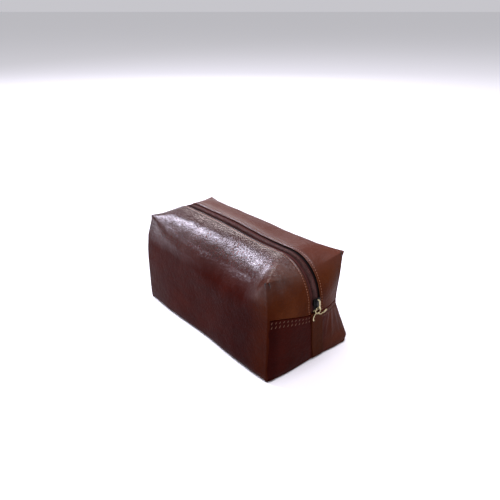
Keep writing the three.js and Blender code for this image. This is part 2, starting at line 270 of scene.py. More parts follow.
def relief(p):
    """Height, along the normal, of folds and creases at settled points."""
    h = np.zeros(len(p))
    for c, d, half, width, depth in CREASES:
        r = p - c
        near = np.linalg.norm(r, axis=1) < half * 2.2 + width * 5
        if not near.any():
            continue
        q = r[near]
        along = q @ d
        across = np.sqrt(np.maximum((q * q).sum(1) - along * along, 0))
        u = across / width
        h[near] += depth * np.exp(-(along / half) ** 2) * (np.exp(-u * u) - 0.55 * np.exp(-(u / 2.2) ** 2))
    return h


# ------------------------------------------------------------------ the half shells
def shell_patches(sy, step=2.0, offset=0.0):
    """Points and faces of one half shell: top and end flaps, long wall, half of the base. sy is -1 for the front."""
    up = spaced(0, EDGE_UP, step, SEAM_FINE, (0.6, 1.4, 2.4, 3.6))
    across = spaced(EDGE_UP, E3 - EDGE_UP, step, (0.6, 1.4, 2.4, 3.6), (0.6, 1.4, 2.4, 3.6))
    e = np.concatenate([up[:-1], across, (E3 - up[::-1])[1:]])
    i_near, i_far = len(up) - 1, len(up) - 1 + len(across) - 1
    ys = np.concatenate([[8.0, 8.25, 8.7, 9.3, 10.0, 10.6, 11.0, 11.4, 12.0, 12.9, 14.2], spaced(16.0, WALL_Y, step, (), (0.3, 0.7, 1.2, 1.9, 2.9))])
    v = (ys - ZIP_Y) / (WALL_Y - ZIP_Y)
    s = s_of_e(e)
    x0, z0, _, _ = zip_at(s)
    x1, z1 = edge_at(e)
    w = (v ** 2)[None, :]
    X = x0[:, None] + (x1 - x0)[:, None] * w
    Z = z0[:, None] + (z1 - z0)[:, None] * w
    Y = np.broadcast_to(sy * ys[None, :], X.shape)
    T = np.stack([X, Y, Z], -1)
    xs = x1[i_near : i_far + 1]                       # from near to far
    zl = spaced(0, SEAM_Z, step, (), SEAM_FINE)       # wall rows below the end seam
    zu = z1[: i_near + 1]
    zs = np.concatenate([zl[:-1], zu])
    bulge = 2.2 * (1 - (xs / EDGE_X) ** 2)[:, None] * (np.sin(math.pi * np.clip(zs / 121.5, 0, 1)) ** 0.8)[None, :]
    W = np.stack([np.broadcast_to(xs[:, None], (len(xs), len(zs))), sy * (WALL_Y + bulge), np.broadcast_to(zs[None, :], (len(xs), len(zs)))], -1)
    yb = spaced(WALL_Y, 0.2, step)
    B = np.stack([np.broadcast_to(xs[:, None], (len(xs), len(yb))), np.broadcast_to(sy * yb[None, :], (len(xs), len(yb))), np.full((len(xs), len(yb)), 0.0)], -1)
    B[:, :, 2] = 1.6 * smooth01((WALL_Y - yb) / 12.0)[None, :]
    reach = 1 - np.clip((yb - ZIP_Y) / (WALL_Y - ZIP_Y), 0, 1) ** 2
    B[:, :, 0] += LOW_BULGE * smooth01((xs - 60) / 64.5)[:, None] * reach[None, :]
    parts, faces, tags, base = [], [], [], 0
    for grid, tag in ((T, 0), (W, 1), (B, 2)):
        n, m = grid.shape[:2]
        f = grid_faces(n, m)
        flat = grid.reshape(-1, 3)
        outward = {0: (flat - (0, 0, 40)) * (1, 0, 1), 1: flat * (0, 1, 0), 2: np.broadcast_to((0.0, 0.0, -1.0), flat.shape)}[tag]
        if (vertex_normals(flat, f) * outward).sum() < 0:
            f = f[:, ::-1]
        faces.append(f + base)
        parts.append(grid.reshape(-1, 3))
        tags.append(np.full(n * m, tag))
        base += n * m
    P, F, tag = np.concatenate(parts), np.concatenate(faces), np.concatenate(tags)
    # the sewn corner stays open in the mesh, so only the folds are joined: shift the flap's corner edge aside while merging
    mark = P.copy()
    nT, mT = T.shape[:2]
    corner = np.zeros(len(P), bool)
    idx = np.arange(nT) * mT + (mT - 1)
    corner[idx[:i_near]] = True
    corner[idx[i_far + 1:]] = True
    mark[corner] += 1000.0
    # join along the top fold
    topfold = idx[i_near : i_far + 1]
    nW, mW = W.shape[:2]
    wall_top = nT * mT + np.arange(nW) * mW + (mW - 1)
    mark[wall_top] = mark[topfold]
    wall_low = nT * mT + np.arange(nW) * mW
    base_edge = nT * mT + nW * mW + np.arange(nW) * len(yb)
    mark[base_edge] = mark[wall_low]
    _, F, first, inverse = merge(mark, F)
    P, tag = P[first], tag[first]
    return P, F, tag


def round_fold(P, tag, sy):
    """The long top fold is a wide soft turn at mid-length and pinches to nothing at the ears."""
    P = P.copy()
    x, y, z = P[:, 0], np.abs(P[:, 1]), P[:, 2]
    if sy < 0:
        R = np.interp(x, [-124.5, -112, -96, -60, 0, 35, 80, 100, 114, 124.5], [0, 6, 16, 27, 38, 47, 48, 38, 15, 0]) + 1e-6
        D = np.interp(x, [-124.5, -112, -96, -60, 0, 35, 80, 100, 114, 124.5], [0, 5, 14, 26, 42, 56, 58, 40, 14, 0]) + 1e-6
    else:
        R = 13.0 * smooth01((EDGE_X - np.abs(x)) / 46.0) ** 0.75 + 1e-6
        D = R
    a, b = WALL_Y - y, EDGE_Z - z
    t = (tag == 0) & (a < R) & (z > 104)
    th = np.radians(45 + 45 * np.clip(a / R, 0, 1))
    P[t, 1] = sy * (WALL_Y - R + R * np.cos(th))[t]
    P[t, 2] += (-D + D * np.sin(th))[t]
    w = (tag == 1) & (b < D) & (b > 1e-6)
    th = np.radians(45 - 45 * np.clip(b / D, 0, 1))
    P[w, 1] += sy * (-R + R * np.cos(th))[w]
    P[w, 2] = (EDGE_Z - D + D * np.sin(th))[w]
    return P


def build_shell(sy, step=2.0, detail=True, inset=0.0):
    P, F, tag = shell_patches(sy, step)
    rest = P.copy()
    P = round_fold(P, tag, sy)
    x, y, z = rest[:, 0], np.abs(rest[:, 1]), rest[:, 2]
    # soften the long folds, and leave the ears sharp
    top_fold = np.where(tag == 0, np.hypot(WALL_Y - y, 0), np.abs(EDGE_Z - z))
    low_fold = np.where(tag == 2, WALL_Y - y, np.abs(z))
    ear = smooth01((EDGE_X - 2 - np.abs(x)) / 34.0)
    wt = np.exp(-(top_fold / 17.0) ** 2) * ear
    wt[(tag == 0) & (np.abs(x) > 121)] *= 0.0
    wl = np.exp(-(low_fold / 7.0) ** 2) * smooth01((EDGE_X - np.abs(x)) / 8.0)
    wt[tag == 2] = 0
    wl[tag == 0] = 0
    P = relax(P, F, np.clip(wt, 0, 1), int(10 * (2.0 / step) ** 2))
    P = relax(P, F, np.clip(wl, 0, 1), int(14 * (2.0 / step) ** 2))
    P = settle(P)
    n = vertex_normals(P, F)
    if detail:
        h = relief(P)
        h += 0.55 * fbm(P, 46.0, 2) + 0.11 * fbm(P + 300, 13.0, 3) + 0.30 * fbm(P + 50, 21.0, 2) * smooth01((y - 14) / 12)
        # grooves at the sewn corners and the end seam
        d = corner_distance(rest, tag)
        h -= 1.5 * np.exp(-(d / 0.9) ** 2) - 0.25 * np.exp(-((d - 2.6) / 1.6) ** 2)
        dz = np.where(tag == 0, np.where(np.abs(rest[:, 0]) > 100, rest[:, 2] - SEAM_Z, 99), 99)
        h -= 0.7 * np.exp(-(dz / 0.8) ** 2)
        # the edge beside the zip, and the dent that the stitches pull
        dy = np.where(tag == 0, y - ZIP_Y, 99)
        h -= 0.55 * np.exp(-(dy / 0.45) ** 2) + 0.28 * np.exp(-((dy - 3.0) / 0.7) ** 2)
        h += 0.16 * np.exp(-((dy - 1.6) / 0.9) ** 2) + 0.2 * np.exp(-((dy - 5.2) / 1.6) ** 2)
        P = P + n * h[:, None]
        P[:, 2] = np.maximum(P[:, 2], 0.0)
    if inset:
        P = P - n * inset
    return P, F, tag, rest


def corner_distance(rest, tag):
    x, y, z = np.abs(rest[:, 0]), np.abs(rest[:, 1]), rest[:, 2]
    d = np.full(len(rest), 99.0)
    wall = tag == 1
    d[wall] = (EDGE_X - x)[wall]
    base = tag == 2
    d[base] = (EDGE_X - x)[base]
    flap = (tag == 0)
    # on the flap the corner runs down from the ear
    below = z < EDGE_Z - 0.2
    d[flap] = np.where(below[flap], np.hypot(WALL_Y - y, np.maximum(0, EDGE_X - x - 4.0))[flap], np.hypot(WALL_Y - y, EDGE_X - x)[flap])
    # the groove starts just under the ear
    fade = smooth01((EDGE_Z + 0.5 - z) / 7.0)
    return np.where(d < 90, d + (1 - fade) * 2.2, d)


# ------------------------------------------------------------------ materials
def nodes_of(mat):
    mat.use_nodes = True
    nt = mat.node_tree
    bsdf = nt.nodes["Principled BSDF"]
    return nt, bsdf


def link(nt, a, b):
    nt.links.new(a, b)


def rgba(c):
    return (c[0], c[1], c[2], 1.0)


def leather_material(name, dark, mid, light, rough=(0.26, 0.44), coat=0.0, grain=1.0, seed=0.0, spec=0.016, pebble=1.0, warm=None, polish=1.0, warm_along=("X", 0.088, 0.127)):
    mat = bpy.data.materials.new(name)
    nt, b = nodes_of(mat)
    tc = nt.nodes.new("ShaderNodeTexCoord")
    mp = nt.nodes.new("ShaderNodeMapping")
    mp.inputs["Location"].default_value = (seed, seed * 0.7, seed * 1.3)
    link(nt, tc.outputs["Object"], mp.inputs["Vector"])
    P = mp.outputs["Vector"]

    def tex_noise(scale, detail, rough_=0.55, dist=0.0):
        n = nt.nodes.new("ShaderNodeTexNoise")
        n.inputs["Scale"].default_value = scale
        n.inputs["Detail"].default_value = detail
        n.inputs["Roughness"].default_value = rough_
        n.inputs["Distortion"].default_value = dist
        link(nt, P, n.inputs["Vector"])
        return n.outputs["Fac"]

    def ramp(fac, stops):
        r = nt.nodes.new("ShaderNodeValToRGB")
        while len(r.color_ramp.elements) > 1:
            r.color_ramp.elements.remove(r.color_ramp.elements[-1])
        r.color_ramp.elements[0].position = stops[0][0]
        r.color_ramp.elements[0].color = rgba(stops[0][1]) if hasattr(stops[0][1], "__len__") else (stops[0][1],) * 3 + (1,)
        for pos, c in stops[1:]:
            el = r.color_ramp.elements.new(pos)
            el.color = rgba(c) if hasattr(c, "__len__") else (c,) * 3 + (1,)
        link(nt, fac, r.inputs["Fac"])
        return r.outputs["Color"]

    def math_(op, a, bb):
        m = nt.nodes.new("ShaderNodeMath")
        m.operation = op
        for k, val in enumerate((a, bb)):
            if isinstance(val, (int, float)):
                m.inputs[k].default_value = val
            else:
                link(nt, val, m.inputs[k])
        return m.outputs[0]

    cloud = tex_noise(16.0, 4.0, 0.6, 0.4)
    patch = tex_noise(55.0, 5.0, 0.62)
    fine = tex_noise(420.0, 3.0, 0.6)
    mixf = math_("ADD", math_("MULTIPLY", cloud, 0.62), math_("MULTIPLY", patch, 0.38))
    colour = ramp(mixf, [(0.30, dark), (0.50, mid), (0.70, light)])
    if warm is not None:
        # painted warm light: the colour is painted redder and warmer along one axis (toward the near end on the shells,
        # toward the back on the lower end panels), standing in for warm light falling on those faces
        sep = nt.nodes.new("ShaderNodeSeparateXYZ")
        link(nt, tc.outputs["Object"], sep.inputs[0])
        warm_light_mask = nt.nodes.new("ShaderNodeMapRange")
        warm_light_mask.interpolation_type = "SMOOTHSTEP"
        warm_light_mask.inputs["From Min"].default_value = warm_along[1]
        warm_light_mask.inputs["From Max"].default_value = warm_along[2]
        link(nt, math_("ADD", sep.outputs[warm_along[0]], math_("MULTIPLY", cloud, 0.012)), warm_light_mask.inputs["Value"])
        painted_warm_colour = ramp(mixf, [(0.30, warm[0]), (0.50, warm[1]), (0.70, warm[2])])
        wm = nt.nodes.new("ShaderNodeMix")
        wm.data_type = "RGBA"
        link(nt, warm_light_mask.outputs["Result"], wm.inputs["Factor"])
        link(nt, colour, wm.inputs["A"])
        link(nt, painted_warm_colour, wm.inputs["B"])
        # painted shade: every colour is scaled down a little, and most toward the floor
        foot_shade = nt.nodes.new("ShaderNodeMapRange")
        foot_shade.inputs["From Max"].default_value = 0.075
        foot_shade.inputs["To Min"].default_value = 0.84
        foot_shade.inputs["To Max"].default_value = 0.94
        link(nt, sep.outputs["Z"], foot_shade.inputs["Value"])
        darker = nt.nodes.new("ShaderNodeMix")
        darker.data_type = "RGBA"
        darker.blend_type = "MULTIPLY"
        darker.inputs["Factor"].default_value = 1.0
        link(nt, wm.outputs["Result"], darker.inputs["A"])
        link(nt, foot_shade.outputs["Result"], darker.inputs["B"])
        # painted shade: the front wall is painted darker and redder low down toward the near end

        def ease(value, a, c):
            e = nt.nodes.new("ShaderNodeMapRange")
            e.interpolation_type = "SMOOTHSTEP"
            e.inputs["From Min"].default_value = a
            e.inputs["From Max"].default_value = c
            link(nt, value, e.inputs["Value"])
            return e.outputs["Result"]

        low = math_("SUBTRACT", 1.0, ease(sep.outputs["Z"], 0.060, 0.112))
        front = ease(math_("MULTIPLY", sep.outputs["Y"], -1.0), 0.046, 0.058)
        low_front_shade = math_("MULTIPLY", math_("MULTIPLY", ease(sep.outputs["X"], -0.01, 0.095), low), front)
        low_front_shade_mix = nt.nodes.new("ShaderNodeMix")
        low_front_shade_mix.data_type = "RGBA"
        low_front_shade_mix.blend_type = "MULTIPLY"
        low_front_shade_mix.inputs["B"].default_value = (0.66, 0.42, 0.34, 1)
        link(nt, low_front_shade, low_front_shade_mix.inputs["Factor"])
        link(nt, darker.outputs["Result"], low_front_shade_mix.inputs["A"])
        colour = low_front_shade_mix.outputs["Result"]
        back_top = ease(sep.outputs["Y"], 0.006, 0.020)
        # painted sheen: the back half of the top is painted paler, standing in for the light it reflects
        back_top_sheen = nt.nodes.new("ShaderNodeMix")
        back_top_sheen.data_type = "RGBA"
        back_top_sheen.inputs["B"].default_value = (0.110, 0.036, 0.024, 1)
        link(nt, math_("MULTIPLY", math_("MULTIPLY", back_top, 0.62), ease(sep.outputs["Z"], 0.100, 0.124)), back_top_sheen.inputs["Factor"])
        link(nt, colour, back_top_sheen.inputs["A"])
        colour = back_top_sheen.outputs["Result"]
        end = nt.nodes.new("ShaderNodeMapRange")
        end.interpolation_type = "SMOOTHSTEP"
        end.inputs["From Min"].default_value = 0.120
        end.inputs["From Max"].default_value = 0.135
        link(nt, math_("ADD", sep.outputs["X"], math_("MULTIPLY", cloud, 0.010)), end.inputs["Value"])
        # handled and polished along the top, dull low on the walls and round the zip's end
        pz = nt.nodes.new("ShaderNodeMapRange")
        pz.interpolation_type = "SMOOTHSTEP"
        pz.inputs["From Min"].default_value = 0.090
        pz.inputs["From Max"].default_value = 0.122
        pz.inputs["To Max"].default_value = 1.0
        link(nt, math_("ADD", sep.outputs["Z"], math_("MULTIPLY", cloud, 0.010)), pz.inputs["Value"])
        broken = ramp(math_("ADD", math_("MULTIPLY", tex_noise(300.0, 2.0, 0.5), 0.55), math_("MULTIPLY", patch, 0.45)), [(0.38, 0.66), (0.55, 1.0)])
        dull = math_("SUBTRACT", 1.0, math_("MULTIPLY", end.outputs["Result"], 0.9))
        weight = math_("MULTIPLY", math_("MULTIPLY", pz.outputs["Result"], dull), math_("MULTIPLY", broken, polish))
        weight = math_("MULTIPLY", weight, math_("SUBTRACT", 1.0, math_("MULTIPLY", back_top, 0.88)))
        corner = math_("MULTIPLY", ease(sep.outputs["X"], 0.088, 0.116), ease(math_("MULTIPLY", sep.outputs["Y"], -1.0), 0.040, 0.052))
        weight = math_("MULTIPLY", weight, math_("SUBTRACT", 1.0, math_("MULTIPLY", corner, 0.75)))
        link(nt, weight, b.inputs["Coat Weight"])
    # darker in the creases of the grain
    vor = nt.nodes.new("ShaderNodeTexVoronoi")
    vor.feature = "DISTANCE_TO_EDGE"
    vor.inputs["Scale"].default_value = 620.0 * grain
    warp = nt.nodes.new("ShaderNodeVectorMath")
    warp.operation = "ADD"
    wn = nt.nodes.new("ShaderNodeTexNoise")
    wn.inputs["Scale"].default_value = 300.0
    link(nt, P, wn.inputs["Vector"])
    ws = nt.nodes.new("ShaderNodeVectorMath")
    ws.operation = "SCALE"
    ws.inputs["Scale"].default_value = 0.0016
    link(nt, wn.outputs["Color"], ws.inputs[0])
    link(nt, P, warp.inputs[0])
    link(nt, ws.outputs[0], warp.inputs[1])
    link(nt, warp.outputs[0], vor.inputs["Vector"])
    vor2 = nt.nodes.new("ShaderNodeTexVoronoi")
    vor2.feature = "SMOOTH_F1"
    vor2.inputs["Scale"].default_value = 330.0 * grain
    vor2.inputs["Smoothness"].default_value = 0.6
    link(nt, warp.outputs[0], vor2.inputs["Vector"])
    cell = ramp(vor.outputs["Distance"], [(0.0, 0.0), (0.16, 0.8), (0.5, 1.0)])
    shade = nt.nodes.new("ShaderNodeMix")
    shade.data_type = "RGBA"
    shade.blend_type = "MULTIPLY"
    shade.inputs["Factor"].default_value = 0.22
    link(nt, colour, shade.inputs["A"])
    link(nt, cell, shade.inputs["B"])
    link(nt, shade.outputs["Result"], b.inputs["Base Color"])
    rmix = nt.nodes.new("ShaderNodeMapRange")
    rmix.inputs["From Min"].default_value = 0.3
    rmix.inputs["From Max"].default_value = 0.7
    rmix.inputs["To Min"].default_value = rough[0]
    rmix.inputs["To Max"].default_value = rough[1]
    link(nt, math_("ADD", math_("MULTIPLY", patch, 0.6), math_("MULTIPLY", fine, 0.4)), rmix.inputs["Value"])
    link(nt, rmix.outputs["Result"], b.inputs["Roughness"])
    height = math_("ADD", math_("MULTIPLY", cell, 0.35), math_("MULTIPLY", vor2.outputs["Distance"], -0.9))
    height = math_("ADD", height, math_("MULTIPLY", fine, 0.35))
    height = math_("ADD", height, math_("MULTIPLY", tex_noise(140.0, 3.0, 0.5), 1.1))
    bump = nt.nodes.new("ShaderNodeBump")
    bump.inputs["Strength"].default_value = 0.6
    bump.inputs["Distance"].default_value = 0.0004
    link(nt, height, bump.inputs["Height"])
    milled = nt.nodes.new("ShaderNodeBump")
    milled.inputs["Strength"].default_value = 0.75
    milled.inputs["Distance"].default_value = 0.00043 * pebble
    if warm is not None:
        link(nt, math_("SUBTRACT", 0.75, math_("MULTIPLY", back_top, 0.40)), milled.inputs["Strength"])
    mh = math_("ADD", math_("MULTIPLY", tex_noise(360.0, 2.0, 0.45, 0.15), 0.55), math_("MULTIPLY", tex_noise(150.0, 2.0, 0.5, 0.1), 0.6))
    link(nt, mh, milled.inputs["Height"])
    link(nt, bump.outputs["Normal"], milled.inputs["Normal"])
    link(nt, milled.outputs["Normal"], b.inputs["Normal"])
    b.inputs["Specular IOR Level"].default_value = spec
    if warm is None:
        b.inputs["Coat Weight"].default_value = coat
    b.inputs["Coat Roughness"].default_value = 0.26
    b.inputs["Coat IOR"].default_value = 1.57
    link(nt, milled.outputs["Normal"], b.inputs["Coat Normal"])
    return mat


def cloth_material(name, a, c, scale=1500.0, rough=0.85, sheen=0.25, shaded_from=None):
    mat = bpy.data.materials.new(name)
    nt, b = nodes_of(mat)
    tc = nt.nodes.new("ShaderNodeTexCoord")
    waves = []
    for axis in ("X", "Z", "Y"):
        w = nt.nodes.new("ShaderNodeTexWave")
        w.wave_type = "BANDS"
        w.bands_direction = axis
        w.inputs["Scale"].default_value = scale / 6.0
        w.inputs["Distortion"].default_value = 0.6
        w.inputs["Detail"].default_value = 1.0
        link(nt, tc.outputs["Object"], w.inputs["Vector"])
        waves.append(w.outputs["Fac"])
    m1 = nt.nodes.new("ShaderNodeMath"); m1.operation = "MULTIPLY"
    link(nt, waves[0], m1.inputs[0]); link(nt, waves[1], m1.inputs[1])
    m2 = nt.nodes.new("ShaderNodeMath"); m2.operation = "MAXIMUM"
    link(nt, m1.outputs[0], m2.inputs[0]); link(nt, waves[2], m2.inputs[1])
    r = nt.nodes.new("ShaderNodeValToRGB")
    r.color_ramp.elements[0].color = rgba(a)
    r.color_ramp.elements[1].color = rgba(c)
    n = nt.nodes.new("ShaderNodeTexNoise")
    n.inputs["Scale"].default_value = 90.0
    n.inputs["Detail"].default_value = 3.0
    link(nt, tc.outputs["Object"], n.inputs["Vector"])
    m3 = nt.nodes.new("ShaderNodeMath"); m3.operation = "MULTIPLY_ADD"
    link(nt, m2.outputs[0], m3.inputs[0]); m3.inputs[1].default_value = 0.6
    m4 = nt.nodes.new("ShaderNodeMath"); m4.operation = "MULTIPLY"; m4.inputs[1].default_value = 0.4
    link(nt, n.outputs["Fac"], m4.inputs[0])
    link(nt, m4.outputs[0], m3.inputs[2])
    link(nt, m3.outputs[0], r.inputs["Fac"])
    if shaded_from is None:
        link(nt, r.outputs["Color"], b.inputs["Base Color"])
    else:
        # painted shadow along both sides, where the tape goes in under the leather
        sep = nt.nodes.new("ShaderNodeSeparateXYZ")
        link(nt, tc.outputs["Object"], sep.inputs[0])
        off = nt.nodes.new("ShaderNodeMath"); off.operation = "SUBTRACT"; off.inputs[1].default_value = 0.0018
        link(nt, sep.outputs["Y"], off.inputs[0])
        away = nt.nodes.new("ShaderNodeMath"); away.operation = "ABSOLUTE"
        link(nt, off.outputs[0], away.inputs[0])
        edge = nt.nodes.new("ShaderNodeMapRange")
        edge.interpolation_type = "SMOOTHSTEP"
        edge.inputs["From Min"].default_value = shaded_from[0]
        edge.inputs["From Max"].default_value = shaded_from[1]
        link(nt, away.outputs[0], edge.inputs["Value"])
        tape_gap_shadow = nt.nodes.new("ShaderNodeMix")
        tape_gap_shadow.data_type = "RGBA"
        tape_gap_shadow.inputs["B"].default_value = (0.0035, 0.0016, 0.0016, 1)
        link(nt, edge.outputs["Result"], tape_gap_shadow.inputs["Factor"])
        link(nt, r.outputs["Color"], tape_gap_shadow.inputs["A"])
        link(nt, tape_gap_shadow.outputs["Result"], b.inputs["Base Color"])
    b.inputs["Roughness"].default_value = rough
    b.inputs["Specular IOR Level"].default_value = 0.2 if shaded_from is None else 0.06
    b.inputs["Sheen Weight"].default_value = sheen
    b.inputs["Sheen Roughness"].default_value = 0.4
    bump = nt.nodes.new("ShaderNodeBump")
    bump.inputs["Strength"].default_value = 0.5
    bump.inputs["Distance"].default_value = 0.00015
    link(nt, m3.outputs[0], bump.inputs["Height"])
    link(nt, bump.outputs["Normal"], b.inputs["Normal"])
    return mat


def metal_material(name, base, worn, rough=(0.22, 0.42), metallic=1.0, scale=260.0, bump_d=0.00004, spec=0.5):
    mat = bpy.data.materials.new(name)
    nt, b = nodes_of(mat)
    tc = nt.nodes.new("ShaderNodeTexCoord")
    n = nt.nodes.new("ShaderNodeTexNoise")
    n.inputs["Scale"].default_value = scale
    n.inputs["Detail"].default_value = 4.0
    link(nt, tc.outputs["Object"], n.inputs["Vector"])
    r = nt.nodes.new("ShaderNodeValToRGB")
    r.color_ramp.elements[0].position = 0.38
    r.color_ramp.elements[0].color = rgba(base)
    r.color_ramp.elements[1].position = 0.66
    r.color_ramp.elements[1].color = rgba(worn)
    link(nt, n.outputs["Fac"], r.inputs["Fac"])
    link(nt, r.outputs["Color"], b.inputs["Base Color"])
    m = nt.nodes.new("ShaderNodeMapRange")
    m.inputs["To Min"].default_value, m.inputs["To Max"].default_value = rough
    link(nt, n.outputs["Fac"], m.inputs["Value"])
    link(nt, m.outputs["Result"], b.inputs["Roughness"])
    b.inputs["Metallic"].default_value = metallic
    b.inputs["Specular IOR Level"].default_value = spec
    fine = nt.nodes.new("ShaderNodeTexNoise")
    fine.inputs["Scale"].default_value = 2200.0
    link(nt, tc.outputs["Object"], fine.inputs["Vector"])
    bump = nt.nodes.new("ShaderNodeBump")
    bump.inputs["Strength"].default_value = 0.35
    bump.inputs["Distance"].default_value = bump_d
    link(nt, fine.outputs["Fac"], bump.inputs["Height"])
    link(nt, bump.outputs["Normal"], b.inputs["Normal"])
    return mat


# the warm colours below are painted warm light, laid on by position
M_SHELL = leather_material("leather_shell", (0.028, 0.0028, 0.0013), (0.037, 0.0040, 0.0019), (0.050, 0.0066, 0.0032), seed=0.11,
                           warm=((0.037, 0.0066, 0.0014), (0.058, 0.0117, 0.0023), (0.082, 0.0195, 0.0048)))
M_END = leather_material("leather_lower_end", (0.024, 0.0022, 0.0010), (0.036, 0.0034, 0.0015), (0.052, 0.0062, 0.0030), seed=0.37,
                         warm=((0.044, 0.0085, 0.0036), (0.068, 0.0150, 0.0066), (0.098, 0.0250, 0.0120)), warm_along=("Y", 0.016, 0.046))
M_BAND = leather_material("leather_strip", (0.028, 0.0052, 0.0013), (0.041, 0.0084, 0.0021), (0.058, 0.0132, 0.0040), rough=(0.40, 0.56), seed=0.53, spec=0.015)
M_EDGE = leather_material("leather_cut_edge", (0.12, 0.034, 0.016), (0.18, 0.056, 0.026), (0.24, 0.080, 0.040), rough=(0.5, 0.65), seed=0.71)
M_LINING = cloth_material("lining_cloth", (0.010, 0.008, 0.007), (0.026, 0.021, 0.019))
M_TAPE = cloth_material("zip_tape_cloth", (0.032, 0.0088, 0.0076), (0.084, 0.0250, 0.0210), scale=2600.0, rough=0.8, sheen=0.02, shaded_from=(0.0040, 0.0066))
M_COIL = metal_material("zip_coil_nylon", (0.042, 0.0140, 0.0115), (0.086, 0.0330, 0.0270), rough=(0.34, 0.50), metallic=0.0, spec=0.2)
M_THREAD = cloth_material("thread", (0.17, 0.062, 0.032), (0.33, 0.140, 0.080), scale=5200.0, rough=0.55, sheen=0.2)
M_THREAD_DARK = cloth_material("thread_dark", (0.066, 0.023, 0.010), (0.125, 0.048, 0.023), scale=5200.0, rough=0.55, sheen=0.2)
M_BLACK = metal_material("slider_black", (0.003, 0.003, 0.003), (0.011, 0.0105, 0.010), rough=(0.2, 0.38), metallic=0.9)
M_BRASS = metal_material("old_brass", (0.25, 0.205, 0.10), (0.60, 0.52, 0.31), rough=(0.18, 0.38))
M_BOARD = cloth_material("board_grey", (0.10, 0.095, 0.085), (0.20, 0.19, 0.17), scale=900.0, rough=0.9, sheen=0.0)

# ------------------------------------------------------------------ lip weights, worked out but not applied
LENS_X, LENS_HALF = -8.0, 101.0


def lip_weight(even):
    """How far a point of the even bag would follow a lip folding out (nothing here applies it): fully at mid-length by
    the zip, not at all past the straight run.
    """
    x, y, z = even[:, 0], np.abs(even[:, 1]), even[:, 2]
    u = np.clip(np.abs(x - LENS_X) / LENS_HALF, 0, 1)
    lens = (1 - u ** 2.4) ** 1.3
    return lens * smooth01((59.0 - y) / 16.0) * smooth01((z - 104.0) / 10.0)


def follow_lip(o):
    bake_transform(o)
    return o


SIDES = (("front", -1), ("back", 1))

# ------------------------------------------------------------------ creases, at settled points, mm
crease((96, -46, 121), (0.85, -0.35, -0.2), 15, 2.6, 0.9)
crease((104, -52, 117), (0.9, -0.2, -0.3), 12, 1.9, 0.7)
crease((88, -53, 118), (0.95, -0.25, -0.1), 13, 2.2, 0.6)
crease((-8, -33, 128), (0.35, 0.9, 0.1), 12, 2.2, 0.55)
crease((4, -35, 127), (0.4, 0.88, 0.05), 11, 2.0, 0.5)
crease((-46, -40, 126), (0.75, 0.6, 0.1), 14, 2.4, 0.45)
crease((50, -48, 119), (0.9, 0.35, 0.1), 14, 2.4, 0.4)
crease((116, 44, 118), (-0.7, -0.6, 0.2), 13, 2.4, 0.7)
crease((112, 50, 121), (-0.9, -0.3, 0.1), 12, 2.0, 0.6)
for k, (y0, z0, y1, z1, wd, hh) in enumerate(((27, 58, 23, 22, 2.6, 1.5), (34, 60, 36, 18, 2.8, 1.3), (40, 61, 51, 22, 2.6, 1.4), (43, 58, 60, 16, 2.4, 0.9), (20, 40, 17, 12, 2.6, 0.7))):
    crease((129.5 - 0.03 * k, (y0 + y1) / 2, (z0 + z1) / 2), (0.0, y1 - y0, z1 - z0), 0.42 * math.hypot(y1 - y0, z1 - z0), wd, hh)
crease((118, -58, 60), (-0.3, -0.05, 1.0), 26, 4.0, 0.5)
for sx, sy in ((1, -1), (1, 1), (-1, -1), (-1, 1)):
    for k in range(3):
        a = math.radians(16 + 26 * k)
        crease((sx * (112 - 3 * k), sy * (48 - 2 * k), 120.5), (-sx * math.cos(a), -sy * math.sin(a), 0.12), 10 + 2 * k, 1.8, 0.42)
    crease((sx * 112, sy * 61, 10), (sx * 0.6, 0, 0.8), 12, 2.2, 0.4)

# ------------------------------------------------------------------ the leather half shells and their lining
STEP = 1.7
outer_of = {}
for side, sy in SIDES:
    P, F, tag, rest = build_shell(sy, STEP)
    outer_of[side] = (P, F, rest)
    V, Q = thicken(P, F, LEATHER)
    o = make_object(f"{side}_shell_leather", V, Q, M_SHELL)
    o.data.materials.append(M_EDGE)
    by_zip = np.where(np.concatenate([tag, tag]) == 0, np.abs(np.concatenate([rest, rest])[:, 1]), 99.0)
    o.data.polygons.foreach_set("material_index", (by_zip[np.asarray(Q)].max(1) < 8.45).astype(np.int32))
    w = np.where(tag == 0, lip_weight(rest), 0.0)
    follow_lip(o)
    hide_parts(f"{side}_wall", f"{side}_base_half", f"{side}_lip", f"near_shoulder_{side}", f"far_shoulder_{side}")
    P, F, tag, rest = build_shell(sy, 4.0, detail=False, inset=3.4)
    # the lining stops short of the zip's middle
    keep = np.ones(len(F), bool)
    V, Q = thicken(P, F, 0.5)
    o = make_object(f"{side}_lining_cloth", V, Q, M_LINING)
    w = np.where(tag == 0, lip_weight(rest), 0.0)
    follow_lip(o)
    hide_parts(f"{side}_lining", f"{side}_lip_lining", f"near_shoulder_lining_{side}", f"far_shoulder_lining_{side}")


# ------------------------------------------------------------------ small builders
def bvh_of(P, F):
    from mathutils.bvhtree import BVHTree
    return BVHTree.FromPolygons([tuple(p) for p in P], [tuple(int(i) for i in f) for f in F])


